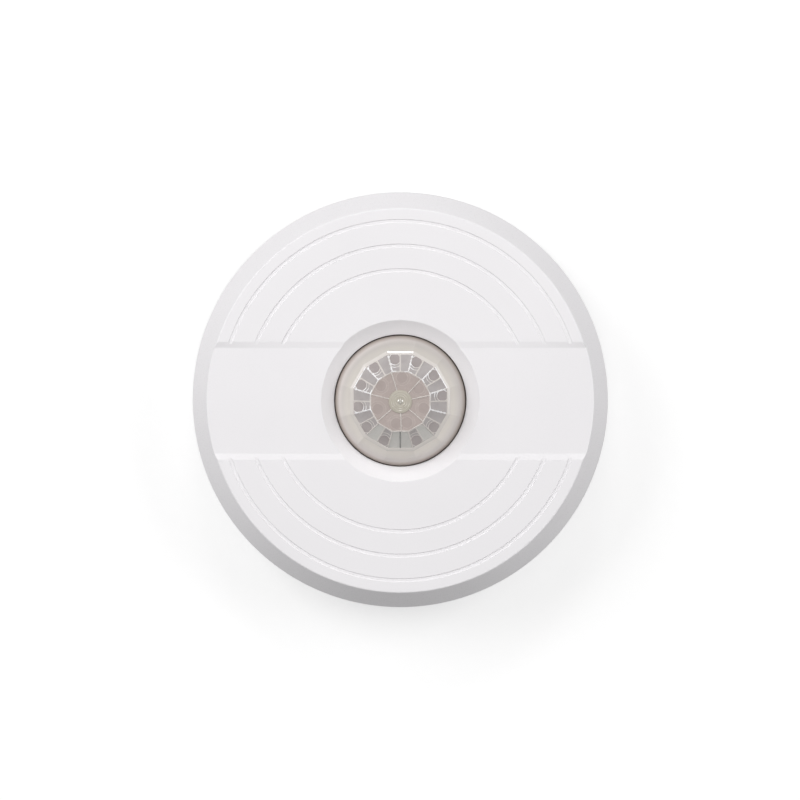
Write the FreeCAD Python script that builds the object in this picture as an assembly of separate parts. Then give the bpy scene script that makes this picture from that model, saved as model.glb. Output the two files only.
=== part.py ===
"""Ceiling-mounted passive infrared detector, as it lies on its back plate.

The frame stands on the middle of the back face: +Z points away from the
ceiling, out through the lens, and +Y is the top of the face when it is looked
at straight on. Every length is in millimetres and every angle in degrees.

A round white cover snaps over a flat base plate. Its face has two raised
segments with three arc grooves each, a lower band between them, a steep bevel
round the edge and a concave collar around a twelve-sided lens. The circuit
board stands on the base plate and carries the sensor under the lens.
"""

import FreeCAD
import Part

import math
import os

from FreeCAD import Rotation, Vector

# Front cover: skirt, bevel and flat face
cover_r = 65.0
skirt_draft = 1.0
edge_gap = 0.6
bevel_foot_z = 17.5
bevel_run = 5.25
bevel_slope = 60.0
cover_wall = 2.0
face_edge_radius = 0.6
foot_edge_radius = 0.8

# Band across the face, between the two raised segments
band_floor_half = 16.4
band_top_half = 18.3
band_depth_rim = 1.0
band_depth_middle = 0.4

# Arc grooves in the raised segments
groove_count = 3
groove_inner_r = 40.4
groove_pitch = 7.6
groove_width = 1.2
groove_floor = 0.3
groove_depth = 0.55

# Collar round the lens
collar_r = 25.0
aperture_r = 20.5
collar_depth = 2.8
collar_outer_slope = 50.0
lip_thickness = 1.6

# Lens: a thin dome with a round foot, tiers of flat facets and a round flange
lens_sides = 12
lens_wall = 0.6
lens_height = 12.0
lens_foot_gap = 0.3
fold_apothem = 17.6
fold_drop = 7.6
window_apothem = 15.4
window_drop = 5.2
bead_run = 0.75
bead_tilt = 27.0
centre_apothem = 9.2
flange_r = 24.5
flange_thickness = 1.2
flange_play = 0.2
pane_depth = 0.18
pane_ridge = 0.45
pane_split = 0.25
boss_r = 3.6
boss_rise = 0.3
sector_angles = (12.0, 47.0, 107.0, 166.0, 221.0, 272.0, 319.0)

# Lens key, a rib in the cover that sits in a notch of the flange
key_width = 3.0
key_depth = 1.2
key_play = 0.15

# Ring that clamps the lens flange, and its screws
tube_wall = 1.5
ring_inner_r = 20.7
ring_thickness = 1.6
ear_pitch_r = 29.0
ear_r = 3.8
ear_count = 3
ear_start = 60.0
lens_boss_r = 3.1
lens_screw_shank_r = 1.1
lens_screw_length = 4.6
lens_screw_head_r = 2.4
lens_screw_head_height = 1.5

# Clearances and allowances shared by all screws
screw_hole_play = 0.4
pilot_play = 0.05
pilot_spare = 0.4
slot_width = 0.7
slot_depth = 0.6
screw_tip_share = 0.4
head_crown_run = 0.8
head_crown_drop = 0.4

# Stiffening ribs of the cover
rib_count = 6
rib_start = 30.0
rib_thickness = 1.2
rib_height = 1.8
rib_foot_length = 1.8

# Base plate and its rim
plate_thickness = 2.2
rim_height = 5.0
rim_wall = 1.6
rim_play = 0.4
plate_rib_height = 1.5
plate_rib_inner_r = 13.0
plate_rib_count = 6

# Snap tongues of the base and the ledges in the cover
tongue_count = 3
tongue_start = 60.0
tongue_width = 8.0
tongue_thickness = 1.6
tongue_play = 0.2
tongue_z = 10.0
nose_reach = 1.2
nose_land = 0.4
nose_height = 2.0
catch_bite = 0.6
catch_height = 1.7
catch_play = 0.3

# Key between cover and rim, and the notch for a screwdriver
rim_key_angle = 270.0
rim_key_play = 0.2
rim_key_drop = 3.5
pry_angle = 240.0
pry_width = 8.0
pry_height = 1.8

# Screw slots, cable entry and knock-out of the base plate
slot_pitch = 100.0
mount_slot_r = 2.3
mount_slot_length = 9.0
slot_pad_width = 2.2
slot_pad_height = 1.0
entry_x = 50.0
entry_size_x = 14.0
entry_size_y = 20.0
entry_corner_r = 3.0
entry_lip = 1.4
entry_lip_height = 1.6
knockout_x = -49.0
knockout_r = 5.0
knockout_groove = 0.8
knockout_skin = 0.6

# Circuit board on its bosses
board_r = 41.0
board_flat_inset = 2.5
board_thickness = 1.6
board_boss_height = 5.2
board_boss_r = 3.2
board_screw_inset = 4.5
board_screw_start = 60.0
board_screw_count = 3
board_screw_shank_r = 1.25
board_screw_length = 5.6
board_screw_head_r = 2.6
board_screw_head_height = 1.6

# Infrared sensor: spacer, header with leads, can and window
spacer_r = 5.2
spacer_height = 2.5
header_r = 4.6
header_height = 1.0
can_r = 4.1
can_height = 3.6
can_wall = 0.35
can_window_x = 4.6
can_window_y = 3.6
window_overlap = 0.8
window_thickness = 0.5
lead_count = 3
lead_r = 0.24
lead_pitch_r = 2.5
lead_play = 0.12
lead_tail = 1.2

# Terminal block, just inside the board's flat
terminal_count = 6
terminal_pitch = 5.08
terminal_inset = 1.25
terminal_depth = 8.5
terminal_height = 10.0
terminal_end_wall = 0.4
terminal_chamfer = 2.0
entry_window = 3.6
entry_window_z = 1.2
well_r = 2.05
clamp_wall = 0.6
clamp_play = 0.1
clamp_height = 6.2
clamp_depth = 5.2
terminal_screw_head_r = 1.9
terminal_screw_head_height = 1.3
terminal_screw_shank_r = 1.2
terminal_screw_shank = 1.6
pin_size = 0.9
pin_play = 0.15
pin_tail = 1.4

# Places on the board are shares of its radius, to the right and up from its middle

# Alarm relay
relay_place = (-0.537, 0.415)
relay_length = 15.0
relay_width = 10.2
relay_height = 9.6
relay_edge = 0.6

# Tamper switch, its plunger and the post in the cover that holds it down
tamper_place = (-0.488, -0.488)
tamper_length = 12.8
tamper_width = 5.8
tamper_height = 6.5
tamper_edge = 0.3
plunger_offset = -3.2
plunger_length = 2.8
plunger_width = 1.6
plunger_pressed = 0.8
plunger_root = 1.4
plunger_play = 0.1
post_r = 2.2
post_gap = 0.05

# Range trimmer
trimmer_place = (-0.122, -0.707)
trimmer_side = 9.4
trimmer_height = 4.8
trimmer_edge = 0.5
rotor_r = 3.3
rotor_play = 0.06
rotor_sink = 1.6
rotor_proud = 0.5
rotor_cross = 4.4
rotor_cross_depth = 0.9

# Two-way option switch
switch_place = (0.207, -0.671)
switch_pitch = 2.54
switch_count = 2
switch_side_wall = 1.5
switch_depth = 7.0
switch_height = 5.0
switch_edge = 0.3
slider_width = 1.3
slider_length = 1.6
slider_travel = 1.5
slider_play = 0.08
slider_root = 1.2
slider_proud = 0.9

# Walk-test lamp
led_place = (0.232, 0.22)
led_r = 1.5
led_flange_r = 1.9
led_flange_height = 0.8
led_height = 4.6

# Chips with bent legs
chip_body_width = 3.9
chip_body_height = 1.5
chip_standoff = 0.15
chip_leg_pitch = 1.27
chip_leg_width = 0.42
chip_leg_thickness = 0.2
chip_leg_reach = 1.05
control_chip_place = (-0.341, -0.098)
control_chip_leg_count = 7
amplifier_chip_place = (0.366, -0.195)
amplifier_chip_leg_count = 4

# Reservoir capacitors
capacitor_places = ((0.049, 0.756), (-0.171, 0.732))
capacitor_r = 3.15
capacitor_height = 7.7
capacitor_neck = 0.3
capacitor_neck_z = 1.4
capacitor_neck_height = 0.9
capacitor_edge = 0.4

# Voltage regulator
regulator_place = (0.268, 0.573)
regulator_r = 2.3
regulator_flat = 1.5
regulator_height = 4.6
regulator_leg = 0.45
regulator_leg_pitch = 1.27
regulator_standoff = 1.6

# Protection diode
diode_place = (0.585, 0.537)
diode_length = 4.3
diode_width = 2.6
diode_height = 2.1
diode_tab = 0.6
diode_tab_width = 1.5
diode_tab_thickness = 0.25

# Small chip resistors and capacitors, in rows that start at a place
chip_length = 2.0
chip_width = 1.25
resistor_height = 0.55
ceramic_height = 0.95
row_pitch = 2.6
resistor_row_places = ((-0.195, -0.329), (0.451, 0.0), (-0.244, 0.232))
resistor_row_counts = (5, 3, 3)
ceramic_row_places = ((-0.146, -0.439), (-0.232, 0.341))
ceramic_row_counts = (4, 3)

# Whole turns, and how far a cut runs beyond what it cuts
TURN = 360.0
BEYOND = 1.0

# Levels and radii that follow from the sizes above
bevel_foot_r = cover_r - (bevel_foot_z - edge_gap) * math.tan(math.radians(skirt_draft))
face_r = bevel_foot_r - bevel_run
face_z = bevel_foot_z + bevel_run * math.tan(math.radians(bevel_slope))
skirt_inner_r = cover_r - cover_wall
rim_outer_r = skirt_inner_r - rim_play
rim_inner_r = rim_outer_r - rim_wall
board_z = plate_thickness + board_boss_height
board_top_z = board_z + board_thickness
board_flat_x = board_r - board_flat_inset
board_screw_pitch_r = board_r - board_screw_inset
terminal_x = board_flat_x - terminal_inset - terminal_depth / 2
pin_hole_r = pin_size / math.sqrt(2) + pin_play
lip_z = face_z - collar_depth
flange_top_z = lip_z - lip_thickness
flange_z = flange_top_z - flange_thickness
lens_top_z = flange_top_z + lens_height
tube_inner_r = flange_r + flange_play
tube_outer_r = tube_inner_r + tube_wall
ring_z = flange_z - ring_thickness
half_side = math.pi / lens_sides
foot_r = aperture_r - lens_foot_gap
bead_apothem = window_apothem - bead_run
bead_z = lens_top_z - window_drop + bead_run * math.tan(math.radians(bead_tilt))
tongue_outer_r = rim_inner_r - tongue_play
nose_r = tongue_outer_r + nose_reach
catch_r = nose_r - catch_bite
catch_z = tongue_z - catch_play - catch_height
plunger_top_z = board_top_z + tamper_height + plunger_pressed
post_end_z = plunger_top_z + post_gap
screw_angles = [board_screw_start + n * TURN / board_screw_count for n in range(board_screw_count)]
ear_angles = [ear_start + n * TURN / ear_count for n in range(ear_count)]
tongue_angles = [tongue_start + n * TURN / tongue_count for n in range(tongue_count)]
rib_angles = [rib_start + n * TURN / rib_count for n in range(rib_count)]


def on_board(place):
    """The x and y of a place on the board, given as shares of its radius."""
    return place[0] * board_r, place[1] * board_r


relay_x, relay_y = on_board(relay_place)
tamper_x, tamper_y = on_board(tamper_place)
plunger_x = tamper_x + plunger_offset
trimmer_x, trimmer_y = on_board(trimmer_place)
switch_x, switch_y = on_board(switch_place)


def turned(shape, angle):
    """A copy of the shape, turned about the axis."""
    copy = shape.copy()
    copy.rotate(Vector(0, 0, 0), Vector(0, 0, 1), angle)
    return copy


def moved(shape, x, y, z=0.0):
    """A copy of the shape, moved without turning."""
    copy = shape.copy()
    copy.translate(Vector(x, y, z))
    return copy


def polar(r, angle):
    """The x and y of a point given by its radius and angle."""
    return r * math.cos(math.radians(angle)), r * math.sin(math.radians(angle))


def rod(r, z0, z1, x=0.0, y=0.0):
    """An upright cylinder from z0 to z1."""
    return Part.makeCylinder(r, z1 - z0, Vector(x, y, z0))


def tube(outer, inner, z0, z1):
    """An upright ring from z0 to z1."""
    return rod(outer, z0, z1).cut(rod(inner, z0 - BEYOND, z1 + BEYOND))


def block(size_x, size_y, z0, z1, x=0.0, y=0.0):
    """An upright box, centred on x and y."""
    return Part.makeBox(size_x, size_y, z1 - z0, Vector(x - size_x / 2, y - size_y / 2, z0))


def joined(shapes):
    """All the shapes as one solid, with its faces merged."""
    shapes = list(shapes)
    return shapes[0].multiFuse(shapes[1:]).removeSplitter()


def section(start, *steps):
    """A closed face in the XZ plane.

    A step is an end point (r, z), or a pair of points for an arc: one that it
    passes through and its end.
    """
    edges, here = [], Vector(start[0], 0, start[1])
    for step in list(steps) + [start]:
        if isinstance(step[0], tuple):
            through = Vector(step[0][0], 0, step[0][1])
            end = Vector(step[1][0], 0, step[1][1])
            edges.append(Part.Arc(here, through, end).toShape())
        else:
            end = Vector(step[0], 0, step[1])
            if end.distanceToPoint(here) < 1e-7:
                continue
            edges.append(Part.LineSegment(here, end).toShape())
        here = end
    return Part.Face(Part.Wire(edges))


def spun(face):
    """The section turned once round the axis."""
    return face.revolve(Vector(0, 0, 0), Vector(0, 0, 1), TURN)


def slab(face, thickness):
    """The section pushed out to both sides of the XZ plane."""
    return moved(face.extrude(Vector(0, thickness, 0)), 0, -thickness / 2)


def parallel(path, distance):
    """The path moved to its right by a distance, with its corners kept sharp."""
    lines = []
    for (r0, z0), (r1, z1) in zip(path, path[1:]):
        length = math.hypot(r1 - r0, z1 - z0)
        along = ((r1 - r0) / length, (z1 - z0) / length)
        shift = (along[1] * distance, -along[0] * distance)
        lines.append(((r0 + shift[0], z0 + shift[1]), along, (r1 + shift[0], z1 + shift[1])))
    points = [lines[0][0]]
    for (p, d, _), (q, e, _) in zip(lines, lines[1:]):
        across = d[0] * e[1] - d[1] * e[0]
        step = ((q[0] - p[0]) * e[1] - (q[1] - p[1]) * e[0]) / across
        points.append((p[0] + d[0] * step, p[1] + d[1] * step))
    points.append(lines[-1][2])
    return points


def rounded_corner(before, corner, after, radius):
    """Start, middle and end of the arc that rounds a corner of a section."""
    def towards(point):
        length = math.hypot(point[0] - corner[0], point[1] - corner[1])
        return (point[0] - corner[0]) / length, (point[1] - corner[1]) / length

    a, b = towards(before), towards(after)
    half = math.acos(max(-1.0, min(1.0, a[0] * b[0] + a[1] * b[1]))) / 2
    back = radius / math.tan(half)
    middle = math.hypot(a[0] + b[0], a[1] + b[1])
    out = radius / math.sin(half) - radius
    return (
        (corner[0] + a[0] * back, corner[1] + a[1] * back),
        (corner[0] + (a[0] + b[0]) / middle * out, corner[1] + (a[1] + b[1]) / middle * out),
        (corner[0] + b[0] * back, corner[1] + b[1] * back),
    )


def edges_at(shape, test):
    """The edges whose points all pass the test."""
    return [e for e in shape.Edges if all(test(v.Point) for v in e.Vertexes)]


def softened(shape, radius, test):
    """The shape with a small round on the edges that pass the test."""
    return shape.makeFillet(radius, edges_at(shape, test))


def screw(head_r, head_height, shank_r, length):
    """A slotted pan-head screw whose head stands on z = 0, shank downwards."""
    side, shoulder = (head_r, head_height - head_crown_drop), (head_r - head_crown_run, head_height)
    head = spun(section((0, 0), (head_r, 0), side, shoulder, (0, head_height)))
    point = min(shank_r, length / 3)
    tip = (shank_r * screw_tip_share, -length)
    shank = spun(section((0, 0), (shank_r, 0), (shank_r, point - length), tip, (0, -length)))
    slot = block(2 * head_r + BEYOND, slot_width, head_height - slot_depth, head_height + BEYOND)
    return joined([head, shank]).cut(slot)


def pilot(shank_r, top_z, depth, x, y):
    """The blind hole that a screw cuts its thread in, downwards from top_z."""
    return rod(shank_r + pilot_play, top_z - depth, top_z, x, y)


def cover_outside():
    """The solid body inside the cover's outer skin, before band and collar."""
    foot, shoulder, edge = (bevel_foot_r, bevel_foot_z), (face_r, face_z), (cover_r, edge_gap)
    f0, f1, f2 = rounded_corner(edge, foot, shoulder, foot_edge_radius)
    s0, s1, s2 = rounded_corner(foot, shoulder, (0, face_z), face_edge_radius)
    return spun(section((0, edge_gap), edge, f0, (f1, f2), s0, (s1, s2), (0, face_z)))


def cover_cavity():
    """The hollow of the cover, before what stands in it is taken away."""
    slope = math.tan(math.radians(skirt_draft))
    below = (cover_r + BEYOND * slope, edge_gap - BEYOND)
    path = [below, (bevel_foot_r, bevel_foot_z), (face_r, face_z), (0, face_z)]
    low, foot, shoulder, top = parallel(path, -cover_wall)
    return spun(section((0, low[1]), low, foot, shoulder, top))


def band_cutter():
    """All that lies above the floor of the band and its two sloping sides."""
    steepness = 3.0
    above = face_z + steepness * band_depth_rim

    def station(x, depth):
        floor = face_z - depth
        out = band_floor_half + steepness * (band_top_half - band_floor_half)
        up = floor + steepness * depth
        ends = [(-out, up), (-band_floor_half, floor), (band_floor_half, floor), (out, up)]
        points = [Vector(x, y, z) for y, z in ends + [(out, above), (-out, above)]]
        return Part.makePolygon(points + [points[0]])

    depths = (band_depth_rim, band_depth_middle, band_depth_rim)
    stations = [station(x, depth) for x, depth in zip((-cover_r, 0, cover_r), depths)]
    return Part.makeLoft(stations, True, False)


def groove_cutter():
    """The arc grooves, cut off where the band begins."""
    rings = []
    for n in range(groove_count):
        r = groove_inner_r + n * groove_pitch
        side = (groove_width - groove_floor) / 2
        out = groove_width / 2 + side
        rings.append(spun(section(
            (r - out, face_z + groove_depth), (r - groove_floor / 2, face_z - groove_depth),
            (r + groove_floor / 2, face_z - groove_depth), (r + out, face_z + groove_depth),
        )))
    band = block(2 * cover_r, 2 * band_floor_half, face_z - cover_wall, face_z + cover_wall)
    return Part.makeCompound([ring.cut(band) for ring in rings])


def collar_cutter():
    """The concave bowl round the lens and the aperture in its middle."""
    rim_z = face_z
    slope = math.radians(collar_outer_slope)
    chord = math.atan2(rim_z - lip_z, collar_r - aperture_r)
    inner = 2 * chord - slope
    radius = math.hypot(rim_z - lip_z, collar_r - aperture_r) / (2 * math.sin((slope - inner) / 2))
    centre = (collar_r - radius * math.sin(slope), rim_z + radius * math.cos(slope))
    middle = (slope + inner) / 2
    through = (centre[0] + radius * math.sin(middle), centre[1] - radius * math.cos(middle))
    up = 3 * cover_wall
    return spun(section(
        (0, flange_z - BEYOND), (aperture_r, flange_z - BEYOND), (aperture_r, lip_z),
        (through, (collar_r, rim_z)), (collar_r + up / math.tan(slope), rim_z + up), (0, rim_z + up),
    ))


def cover_ribs():
    """Radial ribs under the face that run down the skirt to stand on the rim."""
    foot_r = rim_outer_r - rib_foot_length
    ceiling = face_z - cover_wall - band_depth_rim
    face = section(
        (tube_inner_r, face_z), (tube_inner_r, ceiling - rib_height), (foot_r, ceiling - rib_height),
        (foot_r, rim_height), (cover_r, rim_height), (cover_r, face_z),
    )
    return [turned(slab(face, rib_thickness), angle) for angle in rib_angles]


def cover_catches():
    """The ledges inside the skirt that the tongues of the base hook over."""
    ledge = block(cover_r - catch_r, tongue_width, catch_z, catch_z + catch_height, (cover_r + catch_r) / 2)
    return [turned(ledge, angle) for angle in tongue_angles]


def cover_insides():
    """Everything that stands in the hollow of the cover."""
    top = face_z
    seat = tube(tube_inner_r + tube_wall / 2, aperture_r - BEYOND, flange_top_z, top)
    collar_tube = tube(tube_outer_r, tube_inner_r, flange_z, top)
    lens_bosses = [rod(lens_boss_r, flange_z, top, *polar(ear_pitch_r, angle)) for angle in ear_angles]
    key_inner = flange_r - key_depth + key_play
    key_outer = tube_inner_r + tube_wall / 2
    key = block(key_outer - key_inner, key_width - 2 * key_play, flange_z, top, (key_outer + key_inner) / 2)
    rim_key = block(cover_r - rim_inner_r, rib_thickness, rim_height - rim_key_drop, top,
                    (cover_r + rim_inner_r) / 2)
    post = rod(post_r, post_end_z, top, plunger_x, tamper_y)
    return ([seat, collar_tube, turned(key, rim_key_angle), turned(rim_key, rim_key_angle), post]
            + lens_bosses + cover_ribs() + cover_catches())


def front_cover():
    """The moulded cover: face, bevel, skirt, collar and what is moulded inside."""
    band = band_cutter()
    outside = cover_outside().cut(band).cut(groove_cutter()).cut(collar_cutter())
    cavity = cover_cavity().cut(moved(band, 0, 0, -cover_wall))
    for piece in cover_insides():
        cavity = cavity.cut(piece)
    shell = outside.cut(cavity)
    depth = lens_screw_length - ring_thickness + pilot_spare
    for angle in ear_angles:
        x, y = polar(ear_pitch_r, angle)
        shell = shell.cut(pilot(lens_screw_shank_r, flange_z + depth, depth + BEYOND, x, y))
    notch = block(4 * cover_wall, pry_width, edge_gap - BEYOND, edge_gap + pry_height, cover_r)
    return shell.cut(turned(notch, pry_angle))


def polygon(apothem, z):
    """The corners of a level polygon with a side on +X."""
    r = apothem / math.cos(half_side)
    angles = [(2 * n + 1) * half_side for n in range(lens_sides)]
    return [Vector(r * math.cos(a), r * math.sin(a), z) for a in angles]


def faceted(levels):
    """A solid of flat facets between polygons, each given as (apothem, z)."""
    rings = [polygon(*level) for level in levels]
    faces = [Part.Face(Part.makePolygon(r + [r[0]])) for r in (rings[0], rings[-1])]
    for low, high in zip(rings, rings[1:]):
        for n in range(lens_sides):
            m = (n + 1) % lens_sides
            faces.append(Part.Face(Part.makePolygon([low[n], low[m], high[m], high[n], low[n]])))
    return Part.Solid(Part.Shell(faces))


def lens_foot(foot, fold):
    """The part that turns a round foot into a polygon, both given as (size, z)."""
    radius, z = foot
    arcs = []
    for n in range(lens_sides):
        angles = [(2 * n + step) * half_side for step in (1, 2, 3)]
        points = [Vector(radius * math.cos(a), radius * math.sin(a), z) for a in angles]
        arcs.append(Part.Arc(*points).toShape())
    ring = polygon(*fold)
    return Part.makeLoft([Part.Wire(arcs), Part.makePolygon(ring + [ring[0]])], True, True)


def dome(path):
    """A solid with a round foot and flat facets, from its meridian of (size, z)."""
    (radius, low_z), (_, high_z) = path[:2]
    return joined([rod(radius, low_z, high_z), lens_foot(path[1], path[2]), faceted(path[2:])])


def lens_meridian():
    """The outer meridian of the lens, from the flange's back up to the flat centre."""
    return [
        (foot_r, flange_z),
        (foot_r, lip_z),
        (fold_apothem, lens_top_z - fold_drop),
        (window_apothem, lens_top_z - window_drop),
        (bead_apothem, bead_z),
        (centre_apothem, lens_top_z),
    ]


def window_pane(side):
    """The shallow pocket of one pane of a window facet, at the facet on +X."""
    low, high = Vector(bead_apothem, 0, bead_z), Vector(centre_apothem, 0, lens_top_z)
    up = (high - low).normalize()
    out = Vector(-up.z, 0, up.x) * -1
    length = (high - low).Length
    corners = []
    near, top = pane_split / 2, length - pane_ridge
    for v, far in ((pane_ridge, True), (pane_ridge, False), (top, False), (top, True)):
        half = (bead_apothem + (centre_apothem - bead_apothem) * v / length) * math.tan(half_side)
        across = half - pane_ridge / 2 if far else near
        corners.append(low + up * v + Vector(0, side * across, 0) + out * pane_depth)
    face = Part.Face(Part.makePolygon(corners + [corners[0]]))
    return face.extrude(out * (-2 * pane_depth))


def centre_panes():
    """The pockets of the flat centre, parted by radial ridges round the boss."""
    z0, z1 = lens_top_z - pane_depth, lens_top_z + pane_depth
    inset = centre_apothem - pane_ridge
    whole = faceted([(inset, z0), (inset, z1)]).cut(rod(boss_r, z0 - BEYOND, z1 + BEYOND))
    for angle in sector_angles:
        ridge = block(centre_apothem * 2, pane_split, z0 - BEYOND, z1 + BEYOND, centre_apothem)
        whole = whole.cut(turned(ridge, angle))
    return whole


def lens():
    """The lens: a round foot, tiers of twelve facets, window panes and a round flange."""
    outside = lens_meridian()
    path = [(foot_r, flange_z - BEYOND)] + outside[1:] + [(0, lens_top_z)]
    inside = parallel(path, -lens_wall)[:-1]
    body = dome(outside).fuse(rod(flange_r, flange_z, flange_top_z)).cut(dome(inside))
    sphere_r = (boss_r ** 2 + boss_rise ** 2) / (2 * boss_rise)
    halfway = lens_top_z + boss_rise - sphere_r + math.sqrt(sphere_r ** 2 - (boss_r / 2) ** 2)
    root_z = lens_top_z - lens_wall / 2
    boss = spun(section((0, root_z), (boss_r, root_z), (boss_r, lens_top_z),
                        ((boss_r / 2, halfway), (0, lens_top_z + boss_rise))))
    body = body.cut(centre_panes()).fuse(boss)
    for n in range(lens_sides):
        for side in (-1, 1):
            body = body.cut(turned(window_pane(side), n * TURN / lens_sides))
    notch = block(2 * key_depth, key_width, flange_z - BEYOND, flange_top_z + BEYOND, flange_r)
    return body.cut(turned(notch, rim_key_angle)).removeSplitter()


def lens_ring():
    """The ring that clamps the lens flange, with its ears for the screws."""
    ring = tube(tube_outer_r, ring_inner_r, ring_z, flange_z)
    ears = []
    for angle in ear_angles:
        x, y = polar(ear_pitch_r, angle)
        ears.append(rod(ear_r, ring_z, flange_z, x, y))
        reach = ear_pitch_r - ring_inner_r - ring_thickness
        web = block(reach, 2 * ear_r, ring_z, flange_z, ear_pitch_r - reach / 2)
        ears.append(turned(web, angle))
    body = joined([ring] + ears)
    for angle in ear_angles:
        x, y = polar(ear_pitch_r, angle)
        body = body.cut(rod(lens_screw_shank_r + screw_hole_play, ring_z - BEYOND, flange_z + BEYOND, x, y))
    return body


def lens_screws():
    """The screws that hold the clamping ring, heads towards the board."""
    one = screw(lens_screw_head_r, lens_screw_head_height, lens_screw_shank_r, lens_screw_length)
    one.rotate(Vector(0, 0, 0), Vector(1, 0, 0), 180)
    return Part.makeCompound([moved(one, *polar(ear_pitch_r, angle), ring_z) for angle in ear_angles])


def tongue():
    """One springy tongue of the base with its nose outwards, at +X."""
    inner = tongue_outer_r - tongue_thickness
    root, top = plate_thickness - BEYOND, tongue_z + nose_height
    face = section(
        (inner, root), (tongue_outer_r, root), (tongue_outer_r, tongue_z), (nose_r, tongue_z),
        (nose_r, tongue_z + nose_land), (tongue_outer_r, top), (inner, top),
    )
    return slab(face, tongue_width)


def stadium(r, length, z0, z1, y):
    """An upright slot shape along Y."""
    reach = length / 2 - r
    ends = [rod(r, z0, z1, 0, y + side * reach) for side in (-1, 1)]
    return joined(ends + [block(2 * r, 2 * reach, z0, z1, 0, y)])


def rounded_block(size_x, size_y, radius, z0, z1, x):
    """An upright box with rounded upright edges."""
    box = block(size_x, size_y, z0, z1, x)
    upright = [e for e in box.Edges if abs(e.tangentAt(e.FirstParameter).z) > 0.99]
    return box.makeFillet(radius, upright)


def base_plate():
    """The moulded plate that is screwed to the ceiling."""
    plate = rod(rim_outer_r, 0, plate_thickness)
    rim = tube(rim_outer_r, rim_inner_r, 0, rim_height)
    bosses = [rod(board_boss_r, 0, board_z, *polar(board_screw_pitch_r, angle)) for angle in screw_angles]
    tongues = [turned(tongue(), angle) for angle in tongue_angles]
    pads = [stadium(mount_slot_r + slot_pad_width, mount_slot_length + 2 * slot_pad_width, 0,
                    plate_thickness + slot_pad_height, side * slot_pitch / 2) for side in (-1, 1)]
    lip = rounded_block(entry_size_x + 2 * entry_lip, entry_size_y + 2 * entry_lip,
                        entry_corner_r + entry_lip, 0, plate_thickness + entry_lip_height, entry_x)
    ribs = []
    for n in range(plate_rib_count):
        length = board_screw_pitch_r - plate_rib_inner_r
        rib = block(length, rib_thickness, 0, plate_thickness + plate_rib_height,
                    plate_rib_inner_r + length / 2)
        ribs.append(turned(rib, board_screw_start + n * TURN / plate_rib_count))
    hub = tube(plate_rib_inner_r + rib_thickness, plate_rib_inner_r, 0, plate_thickness + plate_rib_height)
    body = joined([plate, rim, lip, hub] + bosses + tongues + pads + ribs)
    through = [stadium(mount_slot_r, mount_slot_length, -BEYOND, plate_thickness + slot_pad_height + BEYOND,
                       side * slot_pitch / 2) for side in (-1, 1)]
    through.append(rounded_block(entry_size_x, entry_size_y, entry_corner_r, -BEYOND,
                                 plate_thickness + entry_lip_height + BEYOND, entry_x))
    through += [pilot(board_screw_shank_r, board_z, board_screw_length - board_thickness + pilot_spare,
                      *polar(board_screw_pitch_r, angle)) for angle in screw_angles]
    key_slot = block(4 * rim_wall, rib_thickness + 2 * rim_key_play, rim_height - rim_key_drop - rim_key_play,
                     rim_height + BEYOND, rim_outer_r)
    through.append(turned(key_slot, rim_key_angle))
    score = tube(knockout_r, knockout_r - knockout_groove, knockout_skin, plate_thickness + BEYOND)
    through.append(moved(score, knockout_x, 0))
    for piece in through:
        body = body.cut(piece)
    return body


def terminal_places():
    """The y of each way of the terminal block."""
    return [(n - (terminal_count - 1) / 2) * terminal_pitch for n in range(terminal_count)]


def lead_places():
    """The x and y of each lead of the sensor."""
    return [polar(lead_pitch_r, n * TURN / (lead_count + 1)) for n in range(lead_count)]


def circuit_board():
    """The round board, flat at the cable side, with its screw and lead holes."""
    board = rod(board_r, board_z, board_top_z)
    low, high = board_z - BEYOND, board_top_z + BEYOND
    board = board.cut(block(board_r, 2 * board_r, low, high, board_flat_x + board_r / 2))
    holes = [rod(board_screw_shank_r + screw_hole_play, low, high, *polar(board_screw_pitch_r, angle))
             for angle in screw_angles]
    holes += [rod(lead_r + lead_play, low, high, x, y) for x, y in lead_places()]
    holes += [rod(pin_hole_r, low, high, terminal_x, y) for y in terminal_places()]
    for hole in holes:
        board = board.cut(hole)
    return board


def board_screws():
    """The screws that hold the board on its bosses."""
    one = screw(board_screw_head_r, board_screw_head_height, board_screw_shank_r, board_screw_length)
    places = [polar(board_screw_pitch_r, angle) for angle in screw_angles]
    return Part.makeCompound([moved(one, x, y, board_top_z) for x, y in places])


spacer_top_z = board_top_z + spacer_height
header_top_z = spacer_top_z + header_height
can_top_z = header_top_z + can_height


def sensor_spacer():
    """The disc that lifts the sensor to the focus of the lens."""
    spacer = rod(spacer_r, board_top_z, spacer_top_z)
    for x, y in lead_places():
        spacer = spacer.cut(rod(lead_r + lead_play, board_top_z - BEYOND, spacer_top_z + BEYOND, x, y))
    return spacer


def sensor_header():
    """The sensor's metal foot with its leads."""
    leads = [rod(lead_r, board_z - lead_tail, header_top_z, x, y) for x, y in lead_places()]
    return joined([rod(header_r, spacer_top_z, header_top_z)] + leads)


def sensor_can():
    """The drawn metal can with the opening for its window."""
    can = rod(can_r, header_top_z, can_top_z)
    can = can.makeChamfer(can_wall, edges_at(can, lambda p: abs(p.z - can_top_z) < 1e-6))
    inside = rod(can_r - can_wall, header_top_z - BEYOND, can_top_z - can_wall)
    return can.cut(inside).cut(block(can_window_x, can_window_y, header_top_z, can_top_z + BEYOND))


def sensor_window():
    """The dark filter behind the opening of the can."""
    top = can_top_z - can_wall
    return block(can_window_x + window_overlap, can_window_y + window_overlap, top - window_thickness, top)


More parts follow.
